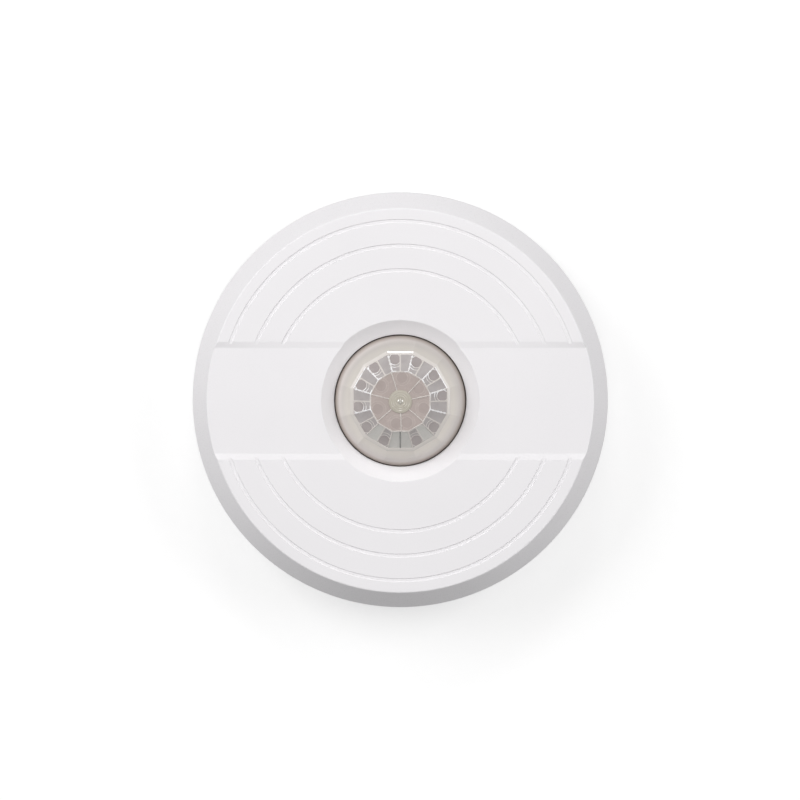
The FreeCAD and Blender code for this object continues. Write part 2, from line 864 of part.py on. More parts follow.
def terminal_housing():
    """The block of screw terminals, with its wire entries and screw wells."""
    length = terminal_count * terminal_pitch + 2 * terminal_end_wall
    top = board_top_z + terminal_height
    low_x, high_x = terminal_x - terminal_depth / 2, terminal_x + terminal_depth / 2
    face = section((low_x, board_top_z), (high_x, board_top_z), (high_x, top - terminal_chamfer),
                   (high_x - terminal_chamfer, top), (low_x, top))
    body = slab(face, length)
    chamber_top = board_top_z + entry_window_z + clamp_height + clamp_play
    for y in terminal_places():
        chamber = block(clamp_depth + 2 * clamp_play, entry_window + 2 * clamp_wall + 2 * clamp_play,
                        board_top_z + entry_window_z - clamp_play, chamber_top, terminal_x, y)
        mouth = block(terminal_depth, entry_window, board_top_z + entry_window_z + clamp_wall,
                      board_top_z + entry_window_z + clamp_wall + entry_window, high_x, y)
        well = rod(well_r, chamber_top - clamp_play, top + BEYOND, terminal_x, y)
        hole = rod(pin_hole_r, board_top_z - BEYOND, board_top_z + entry_window_z, terminal_x, y)
        for hollow in (chamber, mouth, well, hole):
            body = body.cut(hollow)
    return body


def terminal_clamps():
    """The metal cages that hold the wires, with their solder pins."""
    floor = board_top_z + entry_window_z
    cages = []
    for y in terminal_places():
        cage = block(clamp_depth, entry_window + 2 * clamp_wall, floor, floor + clamp_height, terminal_x, y)
        passage = block(clamp_depth + BEYOND, entry_window, floor + clamp_wall,
                        floor + clamp_wall + entry_window, terminal_x, y)
        thread = rod(terminal_screw_shank_r + pilot_play, floor + clamp_wall,
                     floor + clamp_height + BEYOND, terminal_x, y)
        pin = block(pin_size, pin_size, board_z - pin_tail, floor + clamp_wall / 2, terminal_x, y)
        cages.append(cage.cut(passage).cut(thread).fuse(pin).removeSplitter())
    return Part.makeCompound(cages)


def terminal_screws():
    """The wire screws, down in their wells."""
    one = screw(terminal_screw_head_r, terminal_screw_head_height, terminal_screw_shank_r,
                terminal_screw_shank)
    seat = board_top_z + entry_window_z + clamp_height
    return Part.makeCompound([moved(one, terminal_x, y, seat) for y in terminal_places()])


def soft_box(size_x, size_y, height, edge, x, y):
    """A moulded box on the board with its upper edges rounded."""
    top = board_top_z + height
    box = block(size_x, size_y, board_top_z, top, x, y)
    return softened(box, edge, lambda p: abs(p.z - top) < 1e-6)


def relay():
    """The sealed alarm relay."""
    return soft_box(relay_length, relay_width, relay_height, relay_edge, relay_x, relay_y)


def tamper_switch_body():
    """The case of the tamper switch with the slot of its plunger."""
    top = board_top_z + tamper_height
    body = soft_box(tamper_length, tamper_width, tamper_height, tamper_edge, tamper_x, tamper_y)
    slot = block(plunger_length + 2 * plunger_play, plunger_width + 2 * plunger_play,
                 top - plunger_root - plunger_play, top + BEYOND, plunger_x, tamper_y)
    return body.cut(slot)


def tamper_plunger():
    """The button that the cover's post holds down."""
    bottom = board_top_z + tamper_height - plunger_root
    return block(plunger_length, plunger_width, bottom, plunger_top_z, plunger_x, tamper_y)


def trimmer_body():
    """The square case of the range trimmer with the seat of its rotor."""
    top = board_top_z + trimmer_height
    body = soft_box(trimmer_side, trimmer_side, trimmer_height, trimmer_edge, trimmer_x, trimmer_y)
    floor = top - rotor_sink - rotor_play
    return body.cut(rod(rotor_r + rotor_play, floor, top + BEYOND, trimmer_x, trimmer_y))


def trimmer_rotor():
    """The round rotor of the trimmer with a cross for the screwdriver."""
    top = board_top_z + trimmer_height + rotor_proud
    rotor = rod(rotor_r, top - rotor_proud - rotor_sink, top, trimmer_x, trimmer_y)
    for long_x, long_y in ((rotor_cross, slot_width), (slot_width, rotor_cross)):
        rotor = rotor.cut(block(long_x, long_y, top - rotor_cross_depth, top + BEYOND, trimmer_x, trimmer_y))
    pointer = block(rotor_r / 2, slot_width, top - rotor_proud, top + BEYOND, trimmer_x + rotor_r, trimmer_y)
    return rotor.cut(pointer)


def slider_places():
    """The x of each slider of the option switch."""
    return [switch_x + (n - (switch_count - 1) / 2) * switch_pitch for n in range(switch_count)]


def option_switch_body():
    """The case of the option switch with a slot for each slider."""
    top = board_top_z + switch_height
    length = switch_count * switch_pitch + 2 * switch_side_wall
    body = soft_box(length, switch_depth, switch_height, switch_edge, switch_x, switch_y)
    for x in slider_places():
        body = body.cut(block(slider_width + 2 * slider_play, slider_length + slider_travel + 2 * slider_play,
                              top - slider_root - slider_play, top + BEYOND, x, switch_y))
    return body


def option_slider(n):
    """One slider: the first stands at the low end of its slot, the next at the high end."""
    top = board_top_z + switch_height
    side = -1 if n % 2 == 0 else 1
    return block(slider_width, slider_length, top - slider_root, top + slider_proud, slider_places()[n],
                 switch_y + side * slider_travel / 2)


def walk_test_led():
    """The lamp that shows a detection through the lens."""
    z1 = board_top_z + led_flange_height
    straight = board_top_z + led_height - led_r
    dome = (led_r * math.sin(math.pi / 4), straight + led_r * math.cos(math.pi / 4))
    body = spun(section((0, board_top_z), (led_flange_r, board_top_z), (led_flange_r, z1), (led_r, z1),
                        (led_r, straight), (dome, (0, straight + led_r))))
    return moved(body, *on_board(led_place))


def chip(leg_count, place):
    """A chip with a row of bent legs on each long side."""
    x, y = on_board(place)
    length = leg_count * chip_leg_pitch
    z0 = board_top_z + chip_standoff
    body = block(length, chip_body_width, z0, z0 + chip_body_height, x, y)
    edge = chip_body_width / 2
    shoulder = z0 + chip_body_height / 2
    foot, thick = board_top_z, chip_leg_thickness
    knee = edge + chip_leg_reach / 2
    toe = edge + chip_leg_reach
    outline = [Vector(0, *point) for point in (
        (edge - thick, shoulder), (knee, shoulder), (knee, foot + thick), (toe, foot + thick), (toe, foot),
        (knee - thick, foot), (knee - thick, shoulder - thick), (edge - thick, shoulder - thick),
    )]
    face = Part.Face(Part.makePolygon(outline + [outline[0]]))
    leg = moved(face.extrude(Vector(chip_leg_width, 0, 0)), -chip_leg_width / 2, 0)
    pieces = [body]
    for n in range(leg_count):
        at = x + (n - (leg_count - 1) / 2) * chip_leg_pitch
        pieces += [moved(leg, at, y), moved(turned(leg, 180), at, y)]
    return joined(pieces)


def reservoir_capacitor(place):
    """An upright can capacitor with the crimp near its foot."""
    waist = capacitor_r - capacitor_neck
    z0 = board_top_z
    z1, z2 = z0 + capacitor_neck_z, z0 + capacitor_neck_z + capacitor_neck_height
    top = z0 + capacitor_height
    body = spun(section(
        (0, z0), (capacitor_r, z0), (capacitor_r, z1), (waist, (z1 + z2) / 2), (capacitor_r, z2),
        (capacitor_r, top - capacitor_edge), (capacitor_r - capacitor_edge, top), (0, top),
    ))
    return moved(body, *on_board(place))


def voltage_regulator():
    """The half-round regulator on its three legs."""
    z0 = board_top_z + regulator_standoff
    body = rod(regulator_r, z0, z0 + regulator_height)
    body = body.cut(block(4 * regulator_r, 2 * regulator_r, z0 - BEYOND, z0 + regulator_height + BEYOND, 0,
                          -regulator_flat - regulator_r))
    for side in (-1, 0, 1):
        leg = block(regulator_leg, regulator_leg, board_top_z, z0 + regulator_leg, side * regulator_leg_pitch)
        body = body.fuse(leg)
    return moved(body.removeSplitter(), *on_board(regulator_place))


def protection_diode():
    """The diode that guards against a reversed supply, on its two tabs."""
    z0 = board_top_z + diode_tab_thickness
    body = block(diode_length, diode_width, z0, board_top_z + diode_height)
    tabs = block(diode_length + 2 * diode_tab, diode_tab_width, board_top_z, z0)
    return moved(joined([body, tabs]), *on_board(diode_place))


def chip_rows(places, counts, height):
    """Small chips in rows, all alike."""
    chips = []
    one = block(chip_width, chip_length, board_top_z, board_top_z + height)
    for place, count in zip(places, counts):
        x, y = on_board(place)
        chips += [moved(one, x + n * row_pitch, y) for n in range(count)]
    return Part.makeCompound(chips)


def all_parts():
    """Every sub-part by its name."""
    parts = {
        "front_cover": front_cover(),
        "lens": lens(),
        "lens_ring": lens_ring(),
        "lens_screws": lens_screws(),
        "base_plate": base_plate(),
        "circuit_board": circuit_board(),
        "board_screws": board_screws(),
        "sensor_spacer": sensor_spacer(),
        "sensor_header": sensor_header(),
        "sensor_can": sensor_can(),
        "sensor_window": sensor_window(),
        "terminal_housing": terminal_housing(),
        "terminal_clamps": terminal_clamps(),
        "terminal_screws": terminal_screws(),
        "relay": relay(),
        "tamper_switch_body": tamper_switch_body(),
        "tamper_plunger": tamper_plunger(),
        "trimmer_body": trimmer_body(),
        "trimmer_rotor": trimmer_rotor(),
        "option_switch_body": option_switch_body(),
        "walk_test_led": walk_test_led(),
        "control_chip": chip(control_chip_leg_count, control_chip_place),
        "amplifier_chip": chip(amplifier_chip_leg_count, amplifier_chip_place),
        "voltage_regulator": voltage_regulator(),
        "protection_diode": protection_diode(),
        "chip_resistors": chip_rows(resistor_row_places, resistor_row_counts, resistor_height),
        "chip_capacitors": chip_rows(ceramic_row_places, ceramic_row_counts, ceramic_height),
    }
    for n in range(switch_count):
        parts[f"option_slider_{n + 1}"] = option_slider(n)
    for n, place in enumerate(capacitor_places):
        parts[f"reservoir_capacitor_{n + 1}"] = reservoir_capacitor(place)
    return parts


def main():
    """Builds each sub-part and writes its STEP file."""
    os.makedirs("parts", exist_ok=True)
    for name, shape in all_parts().items():
        solids = shape.Solids
        if not solids or not shape.isValid():
            raise SystemExit(f"{name} is not a sound solid")
        out = solids[0] if len(solids) == 1 else Part.makeCompound(solids)
        out.exportStep(f"parts/{name}.step")
        print(f"{name}: {len(solids)} solid(s), {shape.Volume:.1f} mm3")


if __name__ == "__main__":
    main()
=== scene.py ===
"""Dresses the ceiling infrared detector: its glossy cover, faceted lens, base and electronics.

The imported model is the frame, in metres, with the back face on z = 0, the lens looking
along +Z and the top of the face along +Y. Sizes below are in millimetres and are turned
into metres where a mesh is made.
"""

import logging
import math
from dataclasses import dataclass, field
from enum import Enum
from typing import Any, Callable, Optional, Sequence, Union

import bmesh
import bpy
from mathutils import Matrix, Vector


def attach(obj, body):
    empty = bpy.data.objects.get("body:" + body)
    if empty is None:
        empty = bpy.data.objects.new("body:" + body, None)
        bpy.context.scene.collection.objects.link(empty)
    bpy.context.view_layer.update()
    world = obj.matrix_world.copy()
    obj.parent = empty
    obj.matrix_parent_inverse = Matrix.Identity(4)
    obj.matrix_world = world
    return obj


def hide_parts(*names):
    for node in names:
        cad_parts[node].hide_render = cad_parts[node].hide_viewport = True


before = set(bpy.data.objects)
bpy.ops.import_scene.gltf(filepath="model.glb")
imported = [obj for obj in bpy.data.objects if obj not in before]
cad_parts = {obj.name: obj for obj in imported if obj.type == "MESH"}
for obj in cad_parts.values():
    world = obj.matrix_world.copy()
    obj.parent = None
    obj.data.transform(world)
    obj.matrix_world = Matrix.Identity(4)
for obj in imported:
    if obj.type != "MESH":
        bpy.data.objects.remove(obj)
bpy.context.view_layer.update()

LOG = logging.getLogger("detector")
MM = 0.001
FULL_TURN = 2 * math.pi
IMAGE_PIXELS = 800
OUTLINE_WELD = 1e-7
PIECE_WELD = 2e-7
NEAR = 0.002

Point = tuple[float, float]
Spot = tuple[float, float, float]
Colour = tuple[float, float, float]
Rgb = tuple[int, int, int]
Piece = bpy.types.Object
Finish = bpy.types.Material


def srgb(red: int, green: int, blue: int) -> Colour:
    """Turns a display colour into the linear one that shaders use.

    Args:
        red: Red from 0 to 255.
        green: Green from 0 to 255.
        blue: Blue from 0 to 255.

    Returns:
        The linear colour.
    """
    def linear(value: int) -> float:
        """One channel, from display to linear."""
        share = value / 255
        return share / 12.92 if share <= 0.04045 else ((share + 0.055) / 1.055) ** 2.4

    return linear(red), linear(green), linear(blue)


class Bench:
    """The operators that pieces are modelled with, each used on one selected object."""

    @staticmethod
    def clear() -> None:
        """Deselects every object."""
        for other in bpy.context.selected_objects:
            other.select_set(False)

    @classmethod
    def hold(cls, piece: Piece) -> None:
        """Makes a piece the only selected and active object."""
        cls.clear()
        piece.select_set(True)
        bpy.context.view_layer.objects.active = piece

    @classmethod
    def name(cls, label: str) -> Piece:
        """Names the object that was just added."""
        piece = bpy.context.active_object
        piece.name = label
        piece.data.name = label
        return piece

    @classmethod
    def settle(cls, piece: Piece) -> Piece:
        """Puts a piece's place, turn and scale into its mesh."""
        cls.hold(piece)
        bpy.ops.object.transform_apply(location=True, rotation=True, scale=True)
        return piece

    @staticmethod
    def select_all() -> None:
        """Selects all of the mesh that is in edit mode."""
        bpy.ops.mesh.select_all(action="SELECT")

    @staticmethod
    def extrude(x: float, y: float, z: float) -> None:
        """Draws out what is selected, by a way in millimetres."""
        bpy.ops.mesh.extrude_region_move(TRANSFORM_OT_translate={"value": (x * MM, y * MM, z * MM)})

    @classmethod
    def face_outwards(cls) -> None:
        """Turns all faces of the mesh in edit mode outwards."""
        cls.select_all()
        bpy.ops.mesh.normals_make_consistent(inside=False)

    @classmethod
    def draw(cls, label: str, outline: Sequence[Point], closed: bool = True) -> Piece:
        """Draws an outline in the XZ plane by extruding a vertex from point to point.

        Args:
            label: The piece's name.
            outline: Radius and height of each point, in millimetres.
            closed: Whether the last point is joined to the first.

        Returns:
            The object, left in edit mode with all of it selected.
        """
        cls.clear()
        bpy.ops.mesh.primitive_plane_add(size=MM)
        piece = cls.name(label)
        bpy.ops.object.mode_set(mode="EDIT")
        bpy.ops.mesh.select_mode(type="VERT")
        cls.select_all()
        bpy.ops.mesh.merge(type="CENTER")
        bpy.ops.transform.translate(value=(outline[0][0] * MM, 0, outline[0][1] * MM))
        path = [*outline, outline[0]] if closed else outline
        for here, there in zip(path, path[1:]):
            cls.extrude(there[0] - here[0], 0, there[1] - here[1])
        cls.select_all()
        bpy.ops.mesh.remove_doubles(threshold=OUTLINE_WELD)
        cls.select_all()
        return piece

    @classmethod
    def turn(cls, label: str, outline: Sequence[Point], steps: int, closed: bool = True) -> Piece:
        """Spins an outline once round the Z axis into a closed body.

        Args:
            label: The piece's name.
            outline: Radius and height of each point, in millimetres.
            steps: How many steps the turn has.
            closed: Whether the outline is a closed ring, as that of a shell.

        Returns:
            The body, in object mode.
        """
        piece = cls.draw(label, outline, closed)
        bpy.ops.mesh.spin(steps=steps, angle=FULL_TURN, center=(0, 0, 0), axis=(0, 0, 1))
        return cls.leave(piece)

    @classmethod
    def leave(cls, piece: Piece) -> Piece:
        """Merges doubles, turns faces outwards and goes back to object mode."""
        cls.select_all()
        bpy.ops.mesh.remove_doubles(threshold=PIECE_WELD)
        cls.face_outwards()
        bpy.ops.object.mode_set(mode="OBJECT")
        return piece

    @classmethod
    def pick(cls, piece: Piece, test: Callable[[Vector, Vector], bool]) -> None:
        """Selects, in edit mode, the faces whose middle and normal pass a test.

        Args:
            piece: The object in edit mode.
            test: Takes a face's middle in millimetres and its normal.
        """
        bpy.ops.mesh.select_mode(type="FACE")
        bpy.ops.mesh.select_all(action="DESELECT")
        mesh = bmesh.from_edit_mesh(piece.data)
        mesh.normal_update()
        chosen = [face for face in mesh.faces if test(face.calc_center_median() / MM, face.normal)]
        for face in chosen:
            face.select_set(True)
        bmesh.update_edit_mesh(piece.data)

    @classmethod
    def finish(cls, piece: Piece, kind: str, **settings: Any) -> None:
        """Adds a modifier to a piece and applies it.

        Args:
            piece: The object.
            kind: The modifier's type.
            settings: Its settings.
        """
        cls.hold(piece)
        modifier = piece.modifiers.new(kind.title(), kind)
        for key, value in settings.items():
            setattr(modifier, key, value)
        bpy.ops.object.modifier_apply(modifier=modifier.name)

    @classmethod
    def soften(cls, piece: Piece, width: float, segments: int = 2, angle: float = 30) -> None:
        """Rounds a piece's sharp edges.

        Args:
            piece: The object.
            width: The round's width in millimetres.
            segments: How many steps it has.
            angle: Edges that turn by more degrees than this are rounded.
        """
        cls.finish(piece, "BEVEL", width=width * MM, segments=segments, limit_method="ANGLE",
                   angle_limit=math.radians(angle), use_clamp_overlap=True)

    @classmethod
    def smooth(cls, piece: Piece, angle: float = 32) -> Piece:
        """Shades a piece smooth, with creases at sharper edges than the angle in degrees."""
        cls.hold(piece)
        bpy.ops.object.shade_smooth_by_angle(angle=math.radians(angle))
        return piece

    @classmethod
    def flatten(cls, piece: Piece, angle: float = 32) -> None:
        """Shades a piece smooth, with its large faces kept flat right up to their rounded edges."""
        cls.smooth(piece, angle)
        cls.finish(piece, "WEIGHTED_NORMAL", mode="FACE_AREA", weight=50, keep_sharp=True)

    @classmethod
    def cut(cls, piece: Piece, cutter: Piece) -> None:
        """Cuts a piece with a cutter, which is then removed."""
        cls.finish(piece, "BOOLEAN", object=cutter, operation="DIFFERENCE", solver="EXACT")
        bpy.data.objects.remove(cutter)

    @classmethod
    def box(cls, label: str, low: Sequence[float], high: Sequence[float]) -> Piece:
        """Adds a box between two corners given in millimetres."""
        cls.clear()
        middle = [(a + b) / 2 * MM for a, b in zip(low, high)]
        size = [(b - a) * MM for a, b in zip(low, high)]
        bpy.ops.mesh.primitive_cube_add(size=1, location=middle, scale=size)
        return cls.settle(cls.name(label))

    @classmethod
    def rod(cls, label: str, radius: float, low: float, high: float, place: Point = (0, 0),
            sides: int = 32) -> Piece:
        """Adds an upright cylinder.

        Args:
            label: The piece's name.
            radius: Its radius in millimetres.
            low: Its lower end.
            high: Its upper end.
            place: The x and y of its axis.
            sides: How many sides it has.

        Returns:
            The cylinder.
        """
        cls.clear()
        middle = (place[0] * MM, place[1] * MM, (low + high) / 2 * MM)
        bpy.ops.mesh.primitive_cylinder_add(vertices=sides, radius=radius * MM, depth=(high - low) * MM,
                                            location=middle)
        return cls.settle(cls.name(label))

    @classmethod
    def turned(cls, piece: Piece, angle: float) -> Piece:
        """Turns a piece's mesh about the Z axis by an angle in degrees."""
        piece.data.transform(Matrix.Rotation(math.radians(angle), 4, "Z"))
        return piece

    @classmethod
    def copy(cls, piece: Piece, label: str, change: Matrix) -> Piece:
        """Copies a piece with its own mesh, changed by a matrix."""
        twin = piece.copy()
        twin.data = piece.data.copy()
        twin.name = label
        twin.data.name = label
        twin.data.transform(change)
        bpy.context.scene.collection.objects.link(twin)
        return twin

    @classmethod
    def join(cls, label: str, pieces: Sequence[Piece]) -> Piece:
        """Joins pieces into one object under a new name."""
        cls.clear()
        for piece in pieces:
            piece.select_set(True)
        bpy.context.view_layer.objects.active = pieces[0]
        if len(pieces) > 1:
            bpy.ops.object.join()
        return cls.name(label)

    @staticmethod
    def coat(piece: Piece, *finishes: Finish,
             choose: Optional[Callable[[Vector, Vector], int]] = None) -> None:
        """Gives a piece its finishes in place of any that it has.

        Args:
            piece: The piece.
            finishes: The finishes.
            choose: Takes a face's middle in millimetres and its normal, and gives its finish's number.
        """
        piece.data.materials.clear()
        for finish in finishes:
            piece.data.materials.append(finish)
        if choose:
            for face in piece.data.polygons:
                face.material_index = choose(face.center / MM, face.normal)


def shift(x: float, y: float, z: float = 0) -> Matrix:
    """A move by some millimetres."""
    return Matrix.Translation((x * MM, y * MM, z * MM))


def polar(reach: float, angle: float) -> Point:
    """The point at a distance from the axis, in a direction in degrees."""
    return reach * math.cos(math.radians(angle)), reach * math.sin(math.radians(angle))


def arc(centre: Point, radius: float, start: float, end: float, steps: int) -> list[Point]:
    """Points along an arc.

    Args:
        centre: The arc's centre.
        radius: Its radius.
        start: The angle of its first point, in degrees from the outward direction.
        end: The angle of its last point.
        steps: How many stretches it has.

    Returns:
        The points, both ends included.
    """
    angles = [math.radians(start + (end - start) * n / steps) for n in range(steps + 1)]
    return [(centre[0] + radius * math.cos(a), centre[1] + radius * math.sin(a)) for a in angles]


def rounded(before: Point, corner: Point, after: Point, radius: float, steps: int = 4) -> list[Point]:
    """Points of the arc that rounds a corner of an outline.

    Args:
        before: The outline's point before the corner.
        corner: The corner itself.
        after: The point after it.
        radius: The round's radius.
        steps: How many stretches the arc has.

    Returns:
        The arc's points, in the outline's order.
    """
    here = Vector(corner)
    back, on = (Vector(before) - here).normalized(), (Vector(after) - here).normalized()
    half = back.angle(on) / 2
    reach = radius / math.tan(half)
    middle = here + (back + on).normalized() * (radius / math.sin(half))
    first, last = here + back * reach - middle, here + on * reach - middle
    start = math.atan2(first.y, first.x)
    sweep = math.atan2(last.y, last.x) - start
    sweep = (sweep + math.pi) % FULL_TURN - math.pi
    angles = [start + sweep * n / steps for n in range(steps + 1)]
    return [(middle.x + radius * math.cos(a), middle.y + radius * math.sin(a)) for a in angles]


class Signal:
    """A shader socket with arithmetic, so that a pattern reads as an expression."""

    def __init__(self, tree: bpy.types.NodeTree, socket: bpy.types.NodeSocket) -> None:
        """Wraps an output socket of a node tree."""
        self.tree = tree
        self.socket = socket

    def _combine(self, operation: str, *values: Union["Signal", float]) -> "Signal":
        """Adds a Math node that takes some values in their order."""
        node = self.tree.nodes.new("ShaderNodeMath")
        node.operation = operation
        for socket, value in zip(node.inputs, values):
            feed(socket, value)
        return Signal(self.tree, node.outputs[0])

    def maths(self, operation: str, *others: Union["Signal", float]) -> "Signal":
        """Adds a Math node that starts with this value.

        Args:
            operation: The node's operation.
            others: Its further values.

        Returns:
            The result.
        """
        return self._combine(operation, self, *others)

    def __add__(self, other: Union["Signal", float]) -> "Signal":
        """This value plus another."""
        return self.maths("ADD", other)

    __radd__ = __add__

    def __sub__(self, other: Union["Signal", float]) -> "Signal":
        """This value less another."""
        return self.maths("SUBTRACT", other)

    def __rsub__(self, other: float) -> "Signal":
        """A number less this value."""
        return self._combine("SUBTRACT", other, self)

    def __mul__(self, other: Union["Signal", float]) -> "Signal":
        """This value times another."""
        return self.maths("MULTIPLY", other)

    __rmul__ = __mul__

    def __rtruediv__(self, other: float) -> "Signal":
        """A number over this value."""
        return self._combine("DIVIDE", other, self)

    def __truediv__(self, other: Union["Signal", float]) -> "Signal":
        """This value over another."""
        return self.maths("DIVIDE", other)

    def __pow__(self, other: float) -> "Signal":
        """This value to a power."""
        return self.maths("POWER", other)

    def clamped(self) -> "Signal":
        """This value kept from 0 to 1."""
        result = self + 0.0
        result.socket.node.use_clamp = True
        return result

    def above(self, level: float) -> "Signal":
        """1 where this value is over a level, and 0 elsewhere."""
        return self.maths("GREATER_THAN", level)

    def near(self, level: float, reach: float) -> "Signal":
        """1 where this value is within a reach of a level, and 0 elsewhere."""
        return (self - level).maths("ABSOLUTE").maths("LESS_THAN", reach)


def feed(socket: bpy.types.NodeSocket, value: Union[Signal, Colour, float]) -> None:
    """Links a socket to a signal, or gives it a plain value or a colour."""
    if isinstance(value, Signal):
        value.tree.links.new(value.socket, socket)
    elif isinstance(value, tuple) and socket.type == "RGBA":
        socket.default_value = value + (1.0,)
    else:
        socket.default_value = value


class Paint:
    """One material, built from nodes around a Principled shader."""

    def __init__(self, name: str) -> None:
        """Starts an empty material."""
        self.material = bpy.data.materials.new(name)
        self.material.use_nodes = True
        self.tree = self.material.node_tree
        self.tree.nodes.clear()
        output = self.tree.nodes.new("ShaderNodeOutputMaterial")
        self.shader = self.tree.nodes.new("ShaderNodeBsdfPrincipled")
        self.tree.links.new(self.shader.outputs[0], output.inputs["Surface"])

    def node(self, kind: str, settings: Optional[dict[str, Any]] = None, output: Union[int, str] = 0,
             **inputs: Any) -> Signal:
        """Adds a node.

        Args:
            kind: Its type, less the ShaderNode prefix.
            settings: Its settings, which are set first; stops gives a ramp's stops.
            output: Which of its outputs is wanted.
            inputs: Values or links of its sockets, with underscores for spaces in their names.

        Returns:
            The output.
        """
        node = self.tree.nodes.new("ShaderNode" + kind)
        for key, value in (settings or {}).items():
            if key == "stops":
                ramp = node.color_ramp
                while len(ramp.elements) < len(value):
                    ramp.elements.new(0.5)
                for element, (place, colour) in zip(ramp.elements, value):
                    element.position = place
                    element.color = tuple(colour) + (1.0,)
            else:
                setattr(node, key, value)
        for key, value in inputs.items():
            feed(self._socket(node, key), value)
        return Signal(self.tree, node.outputs[output])

    @staticmethod
    def _socket(node: bpy.types.Node, key: str) -> bpy.types.NodeSocket:
        """Finds an enabled input by its name, or by a place such as at_1."""
        if key.startswith("at_"):
            return node.inputs[int(key[3:])]
        wanted = key.replace("_", " ")
        return next(s for s in node.inputs if s.name == wanted and s.enabled)

    def place(self) -> Signal:
        """The Object coordinates."""
        return self.node("TexCoord", output="Object")

    def axes(self) -> tuple[Signal, Signal, Signal]:
        """The x, y and z of the Object coordinates, in millimetres."""
        spot = self.place()
        parts = [self.node("SeparateXYZ", output=n, Vector=spot) for n in range(3)]
        return parts[0] * (1 / MM), parts[1] * (1 / MM), parts[2] * (1 / MM)

    def noise(self, size: float, detail: float = 2.0, roughness: float = 0.5,
              stretch: Spot = (1, 1, 1)) -> Signal:
        """Noise whose lumps are about a size, in millimetres.

        Args:
            size: The lumps' size.
            detail: How many octaves it has.
            roughness: How strong the finer ones are.
            stretch: How much longer it is along each axis.

        Returns:
            Noise around 0.5.
        """
        scale = tuple(1 / (size * MM * s) for s in stretch)
        spot = self.node("Mapping", Vector=self.place(), Scale=scale)
        return self.node("TexNoise", Vector=spot, Scale=1.0, Detail=detail, Roughness=roughness)

    def mix(self, share: Union[Signal, float], first: Union[Signal, Colour],
            second: Union[Signal, Colour]) -> Signal:
        """Mixes two colours.

        Args:
            share: How much of the second there is.
            first: The colour at 0.
            second: The colour at 1.

        Returns:
            The mixed colour.
        """
        return self.node("Mix", {"data_type": "RGBA"}, output=2, at_0=share, at_6=first, at_7=second)

    def bump(self, height: Signal, depth: float) -> None:
        """Feeds a height of 0 to 1 to the shader's normal.

        Args:
            height: The height.
            depth: What a height of 1 stands for, in millimetres.
        """
        self.set(Normal=self.node("Bump", Strength=1.0, Distance=depth * MM, Height=height))

    def set(self, **values: Any) -> None:
        """Sets or links the shader's sockets, with underscores for spaces in their names."""
        for key, value in values.items():
            feed(self.shader.inputs[key.replace("_", " ")], value)


@dataclass(frozen=True)
class GlossCover:
    """The glossy white moulding of the cover, slightly wavy as large moulded faces are."""

    colour: Colour = srgb(242, 240, 242)
    shade: Colour = srgb(238, 236, 238)
    roughness: float = 0.28
    mirror: float = 0.22
    coat: float = 0.08
    wave: float = 0.012
    wave_size: float = 34.0
    crown: float = 0.5
    crown_radius: float = 60.0
    cloud_size: float = 28.0
    grain_size: float = 0.35
    grain_height: float = 0.0006
    grain_spread: float = 0.05
    coat_roughness: float = 0.15
    ior: float = 1.49

    def make(self) -> Finish:
        """Builds the material."""
        paint = Paint("gloss_cover")
        x, y, _ = paint.axes()
        cloud = paint.noise(self.cloud_size, detail=2.0)
        grain = paint.noise(self.grain_size, detail=3.0)
        paint.set(Base_Color=paint.mix(cloud, self.colour, self.shade),
                  Roughness=self.roughness + (grain - 0.5) * self.grain_spread,
                  Specular_IOR_Level=self.mirror, Coat_Weight=self.coat, Coat_Roughness=self.coat_roughness,
                  IOR=self.ior)
        sunk = (x * x + y * y) * (self.crown / self.crown_radius ** 2)
        waves = paint.noise(self.wave_size, detail=1.5, stretch=(1.0, 0.7, 1.0))
        paint.bump(waves * self.wave - sunk + grain * self.grain_height, 1.0)
        return paint.material


@dataclass(frozen=True)
class LensResin:
    """The satin milky plastic of the lens, tinted by what lies behind it, with painted light that makes it
    lighter on the lower side and at the upper left of the rim.
    """

    name: str = "lens_resin"
    colour: Colour = srgb(214, 208, 204)
    shade: Colour = srgb(196, 188, 183)
    roughness: float = 0.34
    coat: float = 0.5
    coat_roughness: float = 0.12
    ripple: float = 0.01
    ripple_size: float = 2.2
    low_side: float = 0.0
    lens_r: float = 20.2
    rim_start: float = 17.8
    rim_side: float = 0.0
    ior: float = 1.5
    cloud_size: float = 3.4
    band_share: float = 0.25
    bands: tuple[tuple[float, Colour], ...] = ()

    def make(self) -> Finish:
        """Builds the material."""
        paint = Paint(self.name)
        x, y, _ = paint.axes()
        cloud = paint.noise(self.cloud_size, detail=4.0, roughness=0.6)
        tone = paint.mix((cloud * 1.8 - 0.4).clamped(), self.shade, self.colour)
        if self.bands:
            span = (x * x + y * y) ** 0.5 * (1 / self.lens_r)
            stops = [(radius / self.lens_r, colour) for radius, colour in self.bands]
            ramp = paint.node("ValToRGB", {"stops": stops}, Fac=span)
            tone = paint.mix(self.band_share, ramp, tone)
        # Painted light: the tone is scaled up towards the lower side, and at the rim up towards the upper
        # left and down towards the lower right.
        if self.low_side:
            low = 0.5 + (x * 0.1 - y) * (0.5 / self.lens_r)
            painted_light = low.clamped() * self.low_side + (1 - self.low_side / 2)
            if self.rim_side:
                rim = ((x * x + y * y) ** 0.5 - self.rim_start).clamped()
                painted_light = painted_light + rim * (y * 1.3 - x) * (self.rim_side / self.lens_r)
            tone = paint.node("VectorMath", {"operation": "SCALE"}, Vector=tone, Scale=painted_light)
        paint.set(Base_Color=tone,
                  Roughness=self.roughness + (cloud - 0.5) * 0.12,
                  Coat_Weight=self.coat, Coat_Roughness=self.coat_roughness, IOR=self.ior)
        if self.ripple:
            paint.bump(paint.noise(self.ripple_size, detail=3.0) * self.ripple, 1.0)
        return paint.material


